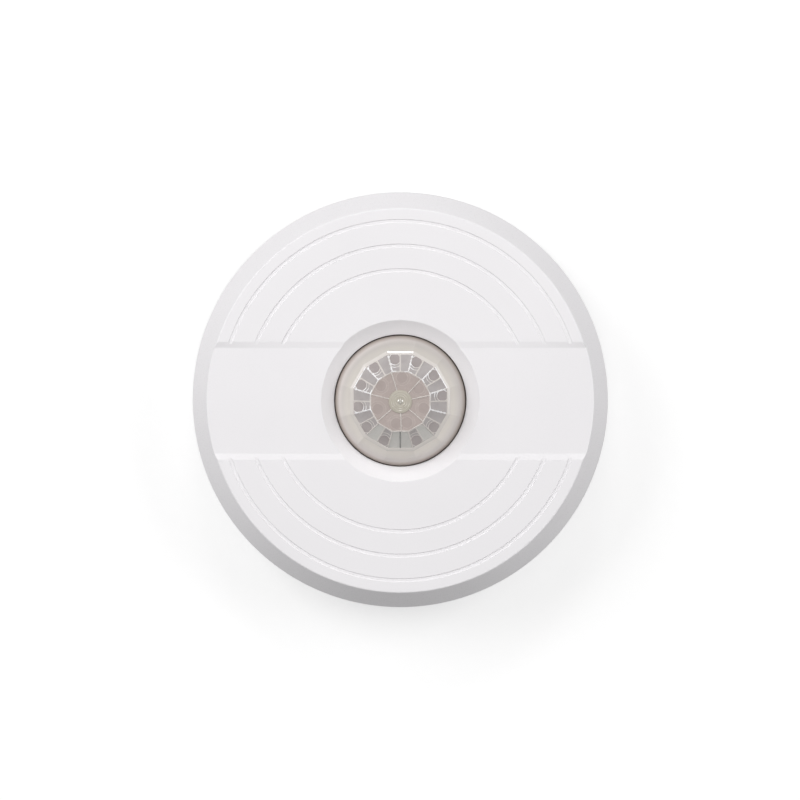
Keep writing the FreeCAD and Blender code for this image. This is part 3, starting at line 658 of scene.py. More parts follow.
@dataclass(frozen=True)
class RidgeResin:
    """The lens ridges, with painted glints (broken bright lines on the upper facets' corners and the 30 and
    150 degree borders), and a bead that is glossiest on the top facet.
    """

    colour: Colour = srgb(212, 206, 201)
    glint_colour: Colour = srgb(250, 249, 250)
    sides: int = 12
    low_y: float = -5.0
    inner: float = 9.3
    outer: float = 14.5
    border: float = 14.5
    border_half: float = 0.17
    border_reach: float = 3.7
    border_turn: Point = (0.866, 0.5)
    crest_slope: float = 3.4
    crest_gloss: float = 0.27
    glint_break_size: float = 1.4
    cloud_size: float = 2.0

    def make(self) -> Finish:
        """Builds the material."""
        paint = Paint("lens_ridge_glints")
        x, y, _ = paint.axes()
        span = (x * x + y * y) ** 0.5
        # Painted glints: the corners above y = low_y and the outer borders of the 30 and 150 degree facets
        # get a noise-broken near-white that stands in for lamp highlights.
        corner = 1 - (y.maths("ARCTAN2", x) * self.sides).maths("COSINE").above(0.0)
        glint_mask = corner * y.above(self.low_y) * span.above(self.inner) * (1 - span.above(self.outer))
        broken = (paint.noise(self.glint_break_size, detail=3.0) * 5 - 1.5).clamped()
        aside, (cosine, sine) = x.maths("ABSOLUTE"), self.border_turn
        border = (aside * cosine + y * sine).near(self.border, self.border_half)
        within = (y * cosine - aside * sine).maths("ABSOLUTE").maths("LESS_THAN", self.border_reach)
        glint_mask = glint_mask.maths("MAXIMUM", border * within)
        crest = (y - aside * self.crest_slope).above(0.0)
        cloud = paint.noise(self.cloud_size, detail=3.0)
        paint.set(Base_Color=paint.mix(glint_mask * broken, self.colour, self.glint_colour),
                  Roughness=0.4 - crest * self.crest_gloss + (cloud - 0.5) * 0.1,
                  Coat_Weight=0.25 + crest * 0.75, Coat_Roughness=0.04, IOR=1.5)
        paint.bump(cloud, 0.02)
        return paint.material


@dataclass(frozen=True)
class MattPlastic:
    """A spark-eroded matt moulding."""

    name: str
    colour: Colour
    shade: Colour
    roughness: float = 0.55
    grain: float = 0.25
    depth: float = 0.006
    coat: float = 0.0

    def make(self) -> Finish:
        """Builds the material."""
        paint = Paint(self.name)
        speck = paint.noise(self.grain, detail=2.0)
        cloud = paint.noise(self.grain * 30, detail=3.0)
        paint.set(Base_Color=paint.mix((cloud * 1.6 - 0.3).clamped(), self.shade, self.colour),
                  Roughness=self.roughness + (speck - 0.5) * 0.16, Coat_Weight=self.coat, IOR=1.5)
        paint.bump(speck, self.depth)
        return paint.material


@dataclass(frozen=True)
class PlatedMetal:
    """Bright metal with fine drawn or tumbled marks."""

    name: str
    colour: Colour
    roughness: float = 0.28
    marks: float = 0.5
    stretch: Spot = (1, 1, 8)
    dullness: float = 0.82

    def make(self) -> Finish:
        """Builds the material."""
        paint = Paint(self.name)
        line = paint.noise(self.marks, detail=4.0, roughness=0.65, stretch=self.stretch)
        dull = tuple(c * self.dullness for c in self.colour)
        paint.set(Base_Color=paint.mix(line, dull, self.colour), Metallic=1.0,
                  Roughness=self.roughness + (line - 0.5) * 0.2)
        paint.bump(line, 0.004)
        return paint.material


@dataclass(frozen=True)
class Collar:
    """Sizes of the concave collar and the aperture, in millimetres."""

    outer: float = 25.0
    aperture: float = 20.5
    slope: float = 37.0
    depth: float = 2.8
    lip: float = 1.6
    edge: float = 0.55
    lip_edge: float = 0.3


@dataclass
class Cover:
    """The front cover: one spun shell with the band cut through it, and what is moulded inside."""

    collar: Collar = field(default_factory=Collar)
    radius: float = 65.0
    draft: float = 1.0
    edge_gap: float = 0.6
    foot_z: float = 17.5
    bevel_run: float = 5.25
    bevel_slope: float = 60.0
    wall: float = 2.0
    foot_round: float = 0.8
    shoulder_round: float = 0.6
    band_floor: float = 16.4
    band_top: float = 18.3
    band_rim: float = 1.0
    band_middle: float = 0.36
    band_round: float = 0.9
    grooves: tuple[float, ...] = (40.4, 48.0, 55.6)
    groove_half: float = 0.6
    groove_floor: float = 0.4
    groove_depth: float = 0.24
    groove_round: float = 0.08
    face_rings: tuple[float, ...] = (27.0, 31.0, 35.0)
    steps: int = 288
    tube_outer: float = 26.2
    tube_inner: float = 24.7
    ring_depth: float = 1.2
    boss_turns: tuple[int, ...] = (60, 180, 300)
    boss_reach: float = 29.0
    boss_r: float = 3.1
    ledge: tuple[Spot, Spot] = ((60.6, -4.0, 8.0), (63.4, 4.0, 9.7))
    rib_turns: tuple[int, ...] = (30, 90, 150, 210, 270, 330)
    rib_half: float = 0.6
    rib_run: Point = (25.9, 57.6)
    rib_height: float = 2.1
    leg_run: Point = (60.8, 63.2)
    leg_z: float = 5.0
    post_place: Point = (-23.208, -20.008)
    post_r: float = 2.2
    post_z: float = 16.35
    key_turn: int = 270
    key_run: Point = (61.2, 63.4)
    key_z: float = 1.5
    notch_turn: int = 240
    notch: tuple[Spot, Spot] = ((60, -4, -1), (68, 4, 2.4))

    def __post_init__(self) -> None:
        """Works out the levels that follow from the sizes."""
        self.foot_r = self.radius - (self.foot_z - self.edge_gap) * math.tan(math.radians(self.draft))
        self.face_r = self.foot_r - self.bevel_run
        self.face_z = self.foot_z + self.bevel_run * math.tan(math.radians(self.bevel_slope))
        self.lip_z = self.face_z - self.collar.depth
        self.seat_z = self.lip_z - self.collar.lip

    def bowl(self) -> list[Point]:
        """The concave arc of the collar, from the aperture's lip outwards."""
        collar = self.collar
        rise = self.face_z - self.lip_z
        run = collar.outer - collar.aperture
        chord = math.atan2(rise, run)
        slope = math.radians(collar.slope)
        inner = 2 * chord - slope
        radius = math.hypot(rise, run) / (2 * math.sin((slope - inner) / 2))
        centre = (collar.outer - radius * math.sin(slope), self.face_z + radius * math.cos(slope))
        return arc(centre, radius, math.degrees(inner) - 90, collar.slope - 90, 14)

    def groove(self, middle: float) -> list[Point]:
        """The section of one groove, from its inner to its outer edge."""
        face, floor = self.face_z, self.face_z - self.groove_depth
        half, flat = self.groove_half, self.groove_floor
        path = [(middle + away, level) for away, level in (
            (-2 * half, face), (-half, face), (-flat, floor), (flat, floor), (half, face), (2 * half, face))]
        points: list[Point] = []
        for before, corner, after, steps in zip(path, path[1:], path[2:], (3, 2, 2, 3)):
            points += rounded(before, corner, after, self.groove_round, steps)
        return points

    def section(self) -> list[Point]:
        """The closed section of the shell, from the aperture outwards and back inside."""
        collar, bowl, face = self.collar, self.bowl(), self.face_z
        start = (collar.aperture, self.seat_z)
        points: list[Point] = [start]
        points += rounded(start, bowl[0], bowl[1], collar.lip_edge, 4)
        points += bowl[2:-1]
        points += rounded(bowl[-2], bowl[-1], (self.grooves[0], face), collar.edge, 4)
        points += [(ring, face) for ring in self.face_rings]
        for number, middle in enumerate(self.grooves):
            if number:
                points.append(((self.grooves[number - 1] + middle) / 2, face))
            points += self.groove(middle)
        shoulder, foot, edge = (self.face_r, face), (self.foot_r, self.foot_z), (self.radius, self.edge_gap)
        points += rounded((0, face), shoulder, foot, self.shoulder_round, 5)
        points.append(((shoulder[0] + foot[0]) / 2, (shoulder[1] + foot[1]) / 2))
        points += rounded(shoulder, foot, edge, self.foot_round, 5)
        points += [(foot[0] + (edge[0] - foot[0]) * share, foot[1] + (edge[1] - foot[1]) * share)
                   for share in (0.3, 0.6, 0.9)]
        inner_r = self.radius - self.wall
        hem, inside = (inner_r, self.edge_gap), (inner_r, self.foot_z)
        points += rounded(foot, edge, hem, 0.3, 3)
        points += rounded(edge, hem, inside, 0.2, 2)
        ceiling = face - self.wall - self.band_rim
        low, high = (self.foot_r - self.wall, self.foot_z - 0.6), (self.face_r - self.wall + 0.2, ceiling)
        tube, ring_z = self.tube_outer, self.seat_z - self.ring_depth
        points.append(low)
        points += rounded(low, high, (tube, ceiling), 1.0, 4)
        points += rounded(high, (tube, ceiling), (tube, ring_z), 0.6, 3)
        points += [(tube, ring_z), (self.tube_inner, ring_z), (self.tube_inner, self.seat_z)]
        return points

    def band_cutter(self) -> Piece:
        """The body that cuts the band: its section drawn out along X, its depth fading to the middle."""
        top, floor, face, low = self.band_top, self.band_floor, self.face_z, self.face_z - self.band_rim
        ease, flare, over, lift, height, steps = 1.4, 1.2, 4, 0.02, 12, 36
        half: list[Point] = [(-top - over, face + flare), (-top - ease, face + lift)]
        half += rounded((-top - ease, face + lift), (-top, face + lift), (-floor, low), self.band_round, 5)
        half += rounded((-top, face), (-floor, low), (0, low), self.band_round, 5)
        section = half + [(0, low)] + [(-away, level) for away, level in reversed(half)]
        cutter = Bench.draw("band_cutter", section, closed=False)
        reach = self.radius + over
        bpy.ops.transform.rotate(value=math.pi / 2, orient_axis="Z", center_override=(0, 0, 0))
        bpy.ops.transform.translate(value=(-reach * MM, 0, 0))

        def depth(x: float) -> float:
            """How deep the band is at a distance from the middle."""
            return self.band_middle + (self.band_rim - self.band_middle) * (x / self.radius) ** 4

        stations = [-reach + 2 * reach * n / steps for n in range(steps + 1)]
        first = depth(stations[0]) / self.band_rim
        level = (0, 0, face * MM)
        bpy.ops.transform.resize(value=(1, 1, first), center_override=level)
        for here, there in zip(stations, stations[1:]):
            Bench.extrude(there - here, 0, 0)
            bpy.ops.transform.resize(value=(1, 1, depth(there) / depth(here)), center_override=level)
        Bench.select_all()
        Bench.extrude(0, 0, height)
        return Bench.leave(cutter)

    def insides(self) -> list[Piece]:
        """The bosses, ribs, ledges, keys and post in the hollow of the cover."""
        top = self.face_z - self.wall - self.band_rim + 0.3
        pieces = []

        def add(piece: Piece, edge: float, angle: float = 0) -> None:
            """Keeps a piece, with its edges rounded and the piece turned about the axis."""
            Bench.soften(piece, edge)
            pieces.append(Bench.turned(piece, angle))

        def bar(label: str, run: Point, low: float, high: float, angle: float) -> None:
            """Keeps a thin upright bar that runs out from the axis."""
            corners = (run[0], -self.rib_half, low), (run[1], self.rib_half, high)
            add(Bench.box(label, *corners), 0.2, angle)

        for angle in self.boss_turns:
            foot = self.seat_z - self.ring_depth
            add(Bench.rod("boss", self.boss_r, foot, top, polar(self.boss_reach, angle)), 0.25)
            add(Bench.box("ledge", *self.ledge), 0.25, angle)
        for angle in self.rib_turns:
            bar("rib", self.rib_run, top - self.rib_height, top + 0.2, angle)
            bar("leg", self.leg_run, self.leg_z, self.foot_z, angle)
        add(Bench.rod("post", self.post_r, self.post_z, top, self.post_place), 0.3)
        bar("key", self.key_run, self.key_z, self.foot_z, self.key_turn)
        return pieces

    def build(self, finish: Finish) -> None:
        """Makes the cover and gives it to the cover body.

        Args:
            finish: The cover's material.
        """
        shell = Bench.turn("cover_shell", self.section(), self.steps)
        Bench.cut(shell, self.band_cutter())
        Bench.cut(shell, Bench.turned(Bench.box("notch", *self.notch), self.notch_turn))
        for piece in (shell, Bench.join("cover_insides", self.insides())):
            Bench.flatten(piece, 28)
            Bench.coat(piece, finish)
            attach(piece, "cover")
            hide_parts("front_cover")
            LOG.info("%s: %d faces", piece.name, len(piece.data.polygons))


class PaneLook(Enum):
    """How one pane of a window facet looks."""

    CIRCLE = "a ring of grooves round a clear circle"
    ARCS = "grooves round a point outside the pane"
    PLAIN = "a pale pane with faint grooves"


@dataclass
class Lens:
    """The twelve-sided dome with its grooved panes, centre sectors, boss and flange."""

    seat_z: float
    lip_z: float
    aperture: float
    sides: int = 12
    height: float = 12.0
    foot_gap: float = 0.3
    fold_apothem: float = 17.6
    fold_drop: float = 7.6
    window_apothem: float = 15.4
    window_drop: float = 5.2
    centre_apothem: float = 9.2
    wall: float = 0.6
    flange_r: float = 24.5
    flange_thickness: float = 1.2
    bead_run: float = 0.75
    bead_tilt: float = 27.0
    foot_steps: int = 8
    pocket: float = 0.2
    ridge: float = 0.2
    split: float = 0.14
    boss_r: float = 3.6
    boss_rise: float = 0.3
    boss_dot_r: float = 0.86
    boss_dot_tilt: float = 34.0
    # Tones of the lens body by radius; the stops beyond 18.9 mm darken to brown, which is painted shade for
    # the shadowed gap where the lens foot meets the aperture.
    tones_and_gap_shade: tuple[tuple[float, Colour], ...] = (
        (14.0, srgb(222, 216, 208)), (16.6, srgb(226, 220, 212)), (17.9, srgb(217, 211, 206)),
        (18.9, srgb(211, 204, 201)), (19.6, srgb(172, 159, 151)), (20.15, srgb(84, 68, 58)))
    boss_rings: tuple[float, ...] = (1.5, 2.15, 2.85)
    clear_r: float = 1.75
    line: float = 0.09
    line_height: float = 0.05
    sectors: tuple[float, ...] = (12.0, 47.0, 107.0, 166.0, 221.0, 272.0, 319.0)
    sector_circles: tuple[Point, ...] = ((35.8, 6.95), (86.0, 7.38), (141.0, 7.7), (199.0, 7.3),
                                         (259.5, 6.86), (287.6, 6.76), (344.2, 7.5))
    circle_reach: float = 13.0
    circle_side: float = 1.72
    arcs_out: float = 1.6
    plain_in: float = 5.5
    sector_gap: float = 0.16
    disc_r: float = 13.0
    divider_half: float = 0.11
    key_turn: int = 270
    mirrored: tuple[int, ...] = (300, 330)
    both_plain: tuple[int, ...] = (270,)
    pale: tuple[int, ...] = (240, 300)

    def __post_init__(self) -> None:
        """Works out the levels that follow from the sizes."""
        self.half_side = math.pi / self.sides
        self.top_z = self.seat_z + self.height
        self.foot_r = self.aperture - self.foot_gap
        self.bead_apothem = self.window_apothem - self.bead_run
        self.bead_z = self.top_z - self.window_drop + self.bead_run * math.tan(math.radians(self.bead_tilt))
        self.slope = (self.top_z - self.bead_z) / (self.bead_apothem - self.centre_apothem)

    def dome(self) -> Piece:
        """The skin: a round foot, facets above it, and panes and a centre sunk between ridges."""
        tiers = [(self.fold_apothem, self.top_z - self.fold_drop),
                 (self.window_apothem, self.top_z - self.window_drop), (self.bead_apothem, self.bead_z),
                 (self.centre_apothem, self.top_z)]
        fold_z = tiers[0][1]
        Bench.clear()
        bpy.ops.mesh.primitive_circle_add(vertices=self.sides, fill_type="NGON", location=(0, 0, fold_z * MM),
                                          radius=self.fold_apothem / math.cos(self.half_side) * MM)
        dome = Bench.turned(Bench.settle(Bench.name("lens_dome")), math.degrees(self.half_side))
        bpy.ops.object.mode_set(mode="EDIT")
        Bench.select_all()
        for (wide, low), (narrow, high) in zip(tiers, tiers[1:]):
            Bench.extrude(0, 0, high - low)
            share = narrow / wide
            bpy.ops.transform.resize(value=(share, share, 1), center_override=(0, 0, high * MM))
        Bench.face_outwards()
        Bench.pick(dome, lambda spot, normal: spot.z < fold_z + 0.01)
        bpy.ops.mesh.delete(type="ONLY_FACE")
        for number in range(self.sides // 2):
            Bench.pick(dome, self.on_window)
            angle = 2 * self.half_side * number
            bpy.ops.mesh.bisect(plane_co=(0, 0, 0), plane_no=(-math.sin(angle), math.cos(angle), 0))
        for test in (self.on_window, lambda spot, normal: spot.z > self.top_z - 0.01):
            Bench.pick(dome, test)
            bpy.ops.mesh.inset(use_individual=True, thickness=self.ridge * MM, depth=-self.pocket * MM)
        self.add_foot(dome, fold_z)
        bpy.ops.object.mode_set(mode="OBJECT")
        Bench.finish(dome, "SOLIDIFY", thickness=self.wall * MM, offset=-1)
        Bench.soften(dome, 0.1, segments=3, angle=9)
        return dome

    def add_foot(self, dome: Piece, fold_z: float) -> None:
        """Joins the lowest facets to a round foot that stands on the flange.

        Args:
            dome: The dome, in edit mode.
            fold_z: The height of the lowest facets' edge.
        """
        def pick_edges(*levels: float) -> None:
            """Selects only the edges that lie level at one of some heights."""
            bpy.ops.mesh.select_mode(type="EDGE")
            bpy.ops.mesh.select_all(action="DESELECT")
            mesh = bmesh.from_edit_mesh(dome.data)
            for edge in mesh.edges:
                heights = [corner.co.z / MM for corner in edge.verts]
                if any(all(abs(height - level) < NEAR for height in heights) for level in levels):
                    edge.select_set(True)
            bmesh.update_edit_mesh(dome.data)

        pick_edges(fold_z)
        bpy.ops.mesh.subdivide(number_cuts=self.foot_steps - 1)
        bpy.ops.mesh.select_all(action="DESELECT")
        bpy.ops.mesh.primitive_circle_add(vertices=self.sides * self.foot_steps, radius=self.foot_r * MM,
                                          fill_type="NOTHING", location=(0, 0, self.lip_z * MM))
        Bench.extrude(0, 0, self.seat_z - self.lip_z)
        pick_edges(fold_z, self.lip_z)
        bpy.ops.mesh.bridge_edge_loops()
        Bench.face_outwards()

    def on_window(self, spot: Vector, normal: Vector) -> bool:
        """Whether a face is one of the window facets."""
        return self.bead_z + 0.5 < spot.z < self.top_z - 0.01 and 0.5 < normal.z < 0.95

    def grooved_disc(self, reach: float) -> Piece:
        """A disc of grooves round a clear circle, laid flat, with its zones of equal area.

        Args:
            reach: How far it reaches.

        Returns:
            The disc, centred on the axis.
        """
        outline: list[Point] = [(0.0, 0.0), (self.clear_r / 2, 0.0)]
        zone = 1
        while outline[-1][0] < reach:
            middle = self.clear_r * math.sqrt(zone)
            share = 1.0 if zone < 3 else 0.5
            half, height = self.line * share, self.line_height * share
            outline += [(middle - half, 0.0), (middle - half / 3, height), (middle + half / 3, height),
                        (middle + half, 0.0)]
            zone += 1
        disc = Bench.turn("grooved_disc", outline, 64, closed=False)
        edge = self.clear_r - self.line
        second = self.clear_r * math.sqrt(2)
        lines = [(edge, self.clear_r + self.line), (second - self.line, second + self.line)]

        def zone_finish(spot: Vector, normal: Vector) -> int:
            """Which of the pane's finishes a face has: the clear circle, a line round it or the rest."""
            away = math.hypot(spot.x, spot.y)
            if away < edge:
                return 1
            return 2 if any(low < away < high for low, high in lines) else 0

        Bench.coat(disc, *(bpy.data.materials.new(f"zone_{n}") for n in range(3)), choose=zone_finish)
        return disc

    def trimmed(self, disc: Piece, label: str, centre: Point,
                edges: Sequence[tuple[Point, Point]]) -> Piece:
        """A copy of the grooved disc, cut off along the pane's edges.

        Args:
            disc: The whole disc.
            label: The copy's name.
            centre: Where the clear circle's middle goes, seen from the front.
            edges: A point of each edge and the direction that points out of the pane.

        Returns:
            The plate, still laid flat.
        """
        plate = Bench.copy(disc, label, shift(*centre))
        Bench.hold(plate)
        bpy.ops.object.mode_set(mode="EDIT")
        for spot, out in edges:
            Bench.select_all()
            bpy.ops.mesh.bisect(plane_co=(spot[0] * MM, spot[1] * MM, 0), plane_no=(out[0], out[1], 0),
                                clear_outer=True)
        bpy.ops.object.mode_set(mode="OBJECT")
        return plate

    def pane_look(self, facet: int, side: int) -> PaneLook:
        """How the pane on one side of a facet looks."""
        if facet in self.both_plain:
            return PaneLook.PLAIN
        if (side > 0) != (facet in self.mirrored):
            return PaneLook.CIRCLE
        return PaneLook.PLAIN if facet in self.pale else PaneLook.ARCS

    def pane_plate(self, disc: Piece, facet: int, side: int) -> Piece:
        """The grooves of one pane, laid on its window facet.

        Args:
            disc: The whole disc.
            facet: The facet's angle in degrees.
            side: The pane's side of the facet's middle, 1 or -1.

        Returns:
            The plate.
        """
        edge = self.ridge + 0.02
        inner, outer = self.centre_apothem + edge, self.bead_apothem - edge
        tilt = self.half_side * side
        look = self.pane_look(facet, side)
        middle = {PaneLook.CIRCLE: self.circle_reach, PaneLook.ARCS: self.window_apothem + self.arcs_out,
                  PaneLook.PLAIN: self.centre_apothem - self.plain_in}[look]
        centre = (middle, side * self.circle_side)
        corner = (0, -side * edge / math.cos(self.half_side))
        edges = [((inner, 0), (-1, 0)), ((outer, 0), (1, 0)),
                 ((0, side * (self.split / 2 + 0.1)), (0, -side)),
                 (corner, (-side * math.sin(tilt), math.cos(tilt) * side))]
        plate = self.trimmed(disc, f"pane_{facet}_{'left' if side > 0 else 'right'}", centre, edges)
        lay = Matrix.Identity(4)
        lay[2][0] = -self.slope
        sunk = self.pocket * math.hypot(1, self.slope)
        lay[2][3] = (self.top_z + self.slope * self.centre_apothem - sunk + 0.02) * MM
        plate.data.transform(Matrix.Rotation(math.radians(facet), 4, "Z") @ lay)
        return plate

    def sector_plate(self, disc: Piece, number: int) -> Piece:
        """The grooves of one sector of the flat centre.

        Args:
            disc: The whole disc.
            number: Which sector it is, from the first dividing line on.

        Returns:
            The plate.
        """
        start = math.radians(self.sectors[number])
        end = math.radians(self.sectors[(number + 1) % len(self.sectors)])
        gap = self.sector_gap
        edges = [((-gap * math.sin(start), gap * math.cos(start)), (math.sin(start), -math.cos(start))),
                 ((gap * math.sin(end), -gap * math.cos(end)), (-math.sin(end), math.cos(end)))]
        reach = self.centre_apothem - self.ridge - 0.03
        for side in range(self.sides):
            out = math.cos(2 * self.half_side * side), math.sin(2 * self.half_side * side)
            edges.append(((reach * out[0], reach * out[1]), out))
        turn, away = self.sector_circles[number]
        plate = self.trimmed(disc, f"sector_{number}", polar(away, turn), edges)
        plate.data.transform(shift(0, 0, self.top_z - self.pocket + 0.01))
        return plate

    def dividers(self) -> list[Piece]:
        """The low ridges between the sectors of the centre."""
        bars = []
        for number, angle in enumerate(self.sectors):
            low = (self.boss_r - 0.3, -self.divider_half, self.top_z - self.wall * 0.6)
            high = (self.centre_apothem - 0.1, self.divider_half, self.top_z - 0.03)
            bar = Bench.box(f"divider_{number}", low, high)
            Bench.soften(bar, 0.06)
            bars.append(Bench.turned(bar, angle))
        return bars

    def boss(self) -> Piece:
        """The crowned boss in the middle, with fine rings."""
        top = self.top_z + self.boss_rise
        crown = self.boss_dot_r / math.sin(math.radians(self.boss_dot_tilt))
        outline: list[Point] = []
        for step in range(9):
            tilt = math.radians(self.boss_dot_tilt * step / 8)
            outline.append((crown * math.sin(tilt), top - crown * (1 - math.cos(tilt))))
        ledge = outline[-1][1] + 0.02
        for ring in self.boss_rings:
            outline += [(ring - 0.12, ledge), (ring, ledge + 0.06), (ring + 0.12, ledge + 0.01)]
        outline += [(self.boss_r - 0.15, ledge), (self.boss_r, ledge - 0.12),
                    (self.boss_r, self.top_z - self.pocket)]
        return Bench.turn("lens_boss", outline, 64, closed=False)

    def flange(self) -> Piece:
        """The round flange that seats under the collar."""
        low, high = self.seat_z - self.flange_thickness, self.seat_z
        inner = self.foot_r - self.wall
        outline = [(inner, low), (self.flange_r, low), (self.flange_r, high), (inner, high)]
        ring = Bench.turn("lens_flange", outline, 96)
        notch = Bench.box("notch", (self.flange_r - 1.2, -1.5, low - 1), (self.flange_r + 1, 1.5, high + 1))
        Bench.cut(ring, Bench.turned(notch, self.key_turn))
        Bench.soften(ring, 0.15)
        return ring

    @staticmethod
    def resin(label: str, colour: Rgb, shade: Rgb, **look: Any) -> Finish:
        """One of the lens's resins, from its lighter and darker display colours."""
        return LensResin(f"lens_{label}", srgb(*colour), srgb(*shade), **look).make()

    @staticmethod
    def tint(plate: Piece, finishes: Sequence[Finish]) -> None:
        """Gives a plate its finishes for the grooves, the clear circle and the lines round it."""
        for index, finish in enumerate(finishes):
            plate.data.materials[index] = finish

    def build(self) -> None:
        """Makes the lens and gives it to the cover body."""
        resin = self.resin
        # The lens body gets painted light on its lower side and rim, and painted shade in its outer tones
        # where the lens foot meets the aperture.
        body = resin("body", (205, 199, 194), (190, 183, 177), roughness=0.42, coat=0.25, low_side=0.5,
                     rim_side=0.11, bands=self.tones_and_gap_shade)
        ridge = RidgeResin().make()
        # The pane resins below also get painted light, lighter towards the lower side.
        warm = resin("clear", (168, 159, 158), (155, 146, 144), roughness=0.22, coat=0.8, coat_roughness=0.08,
                     ripple=0.04, ripple_size=1.5, low_side=0.22)
        grey = resin("grooved", (182, 176, 175), (164, 157, 156), roughness=0.24, coat=0.8,
                     coat_roughness=0.08, ripple=0.05, ripple_size=1.6, low_side=0.1)
        pale = resin("pale", (202, 199, 195), (190, 188, 182), roughness=0.24, coat=0.9, coat_roughness=0.06,
                     ripple=0.04, low_side=0.35)
        centre = resin("centre", (179, 166, 161), (168, 155, 150), roughness=0.26, coat=0.4)
        rose = resin("rose", (172, 159, 155), (161, 148, 143), roughness=0.24, coat=0.4)
        line = resin("line", (190, 179, 174), (180, 168, 163), roughness=0.2)
        green = resin("boss", (183, 176, 163), (174, 168, 154), roughness=0.2, coat=0.6, coat_roughness=0.05,
                      ripple=0.0)
        crown = resin("crown", (150, 143, 128), (146, 139, 124), roughness=0.03, coat=1.0,
                      coat_roughness=0.01, ripple=0.0, ior=2.3)
        # The flange's dark brown is painted shade: it stands for the shadowed gap seen between the lens foot
        # and the aperture.
        shade = resin("flange", (84, 70, 60), (70, 58, 50))
        seam = resin("seam", (136, 136, 133), (124, 124, 121), roughness=0.2)

        dome = self.dome()

        def dome_finish(spot: Vector, normal: Vector) -> int:
            """The finish of a face of the dome, by its tier."""
            if spot.z < self.top_z - self.window_drop - 0.05:
                return 0
            dark = abs(spot.x) < 0.25 and spot.y < 0 and self.bead_z + 0.5 < spot.z < self.top_z - 0.5
            return 2 if dark else 1

        Bench.coat(dome, body, ridge, seam, choose=dome_finish)
        disc = self.grooved_disc(self.disc_r)
        plates = []
        for step in range(self.sides):
            facet = round(math.degrees(2 * self.half_side * step))
            for side in (1, -1):
                plate = self.pane_plate(disc, facet, side)
                look = self.pane_look(facet, side)
                tone = {PaneLook.CIRCLE: grey, PaneLook.ARCS: grey, PaneLook.PLAIN: pale}[look]
                self.tint(plate, (tone, warm, ridge if look is PaneLook.CIRCLE else tone))
                plates.append(plate)
        for number in range(len(self.sectors)):
            plate = self.sector_plate(disc, number)
            self.tint(plate, (centre, rose, line))
            plates.append(plate)
        bpy.data.objects.remove(disc)
        grooves = Bench.join("lens_grooves", plates)
        bars = Bench.join("lens_dividers", self.dividers())
        boss, flange = self.boss(), self.flange()
        Bench.coat(bars, ridge)
        Bench.coat(flange, shade)
        Bench.coat(boss, green, crown,
                   choose=lambda spot, normal: int(math.hypot(spot.x, spot.y) < self.boss_dot_r))
        for piece in (dome, grooves, bars, boss, flange):
            Bench.smooth(piece, 24)
            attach(piece, "cover")
            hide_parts("lens")
            LOG.info("%s: %d faces", piece.name, len(piece.data.polygons))


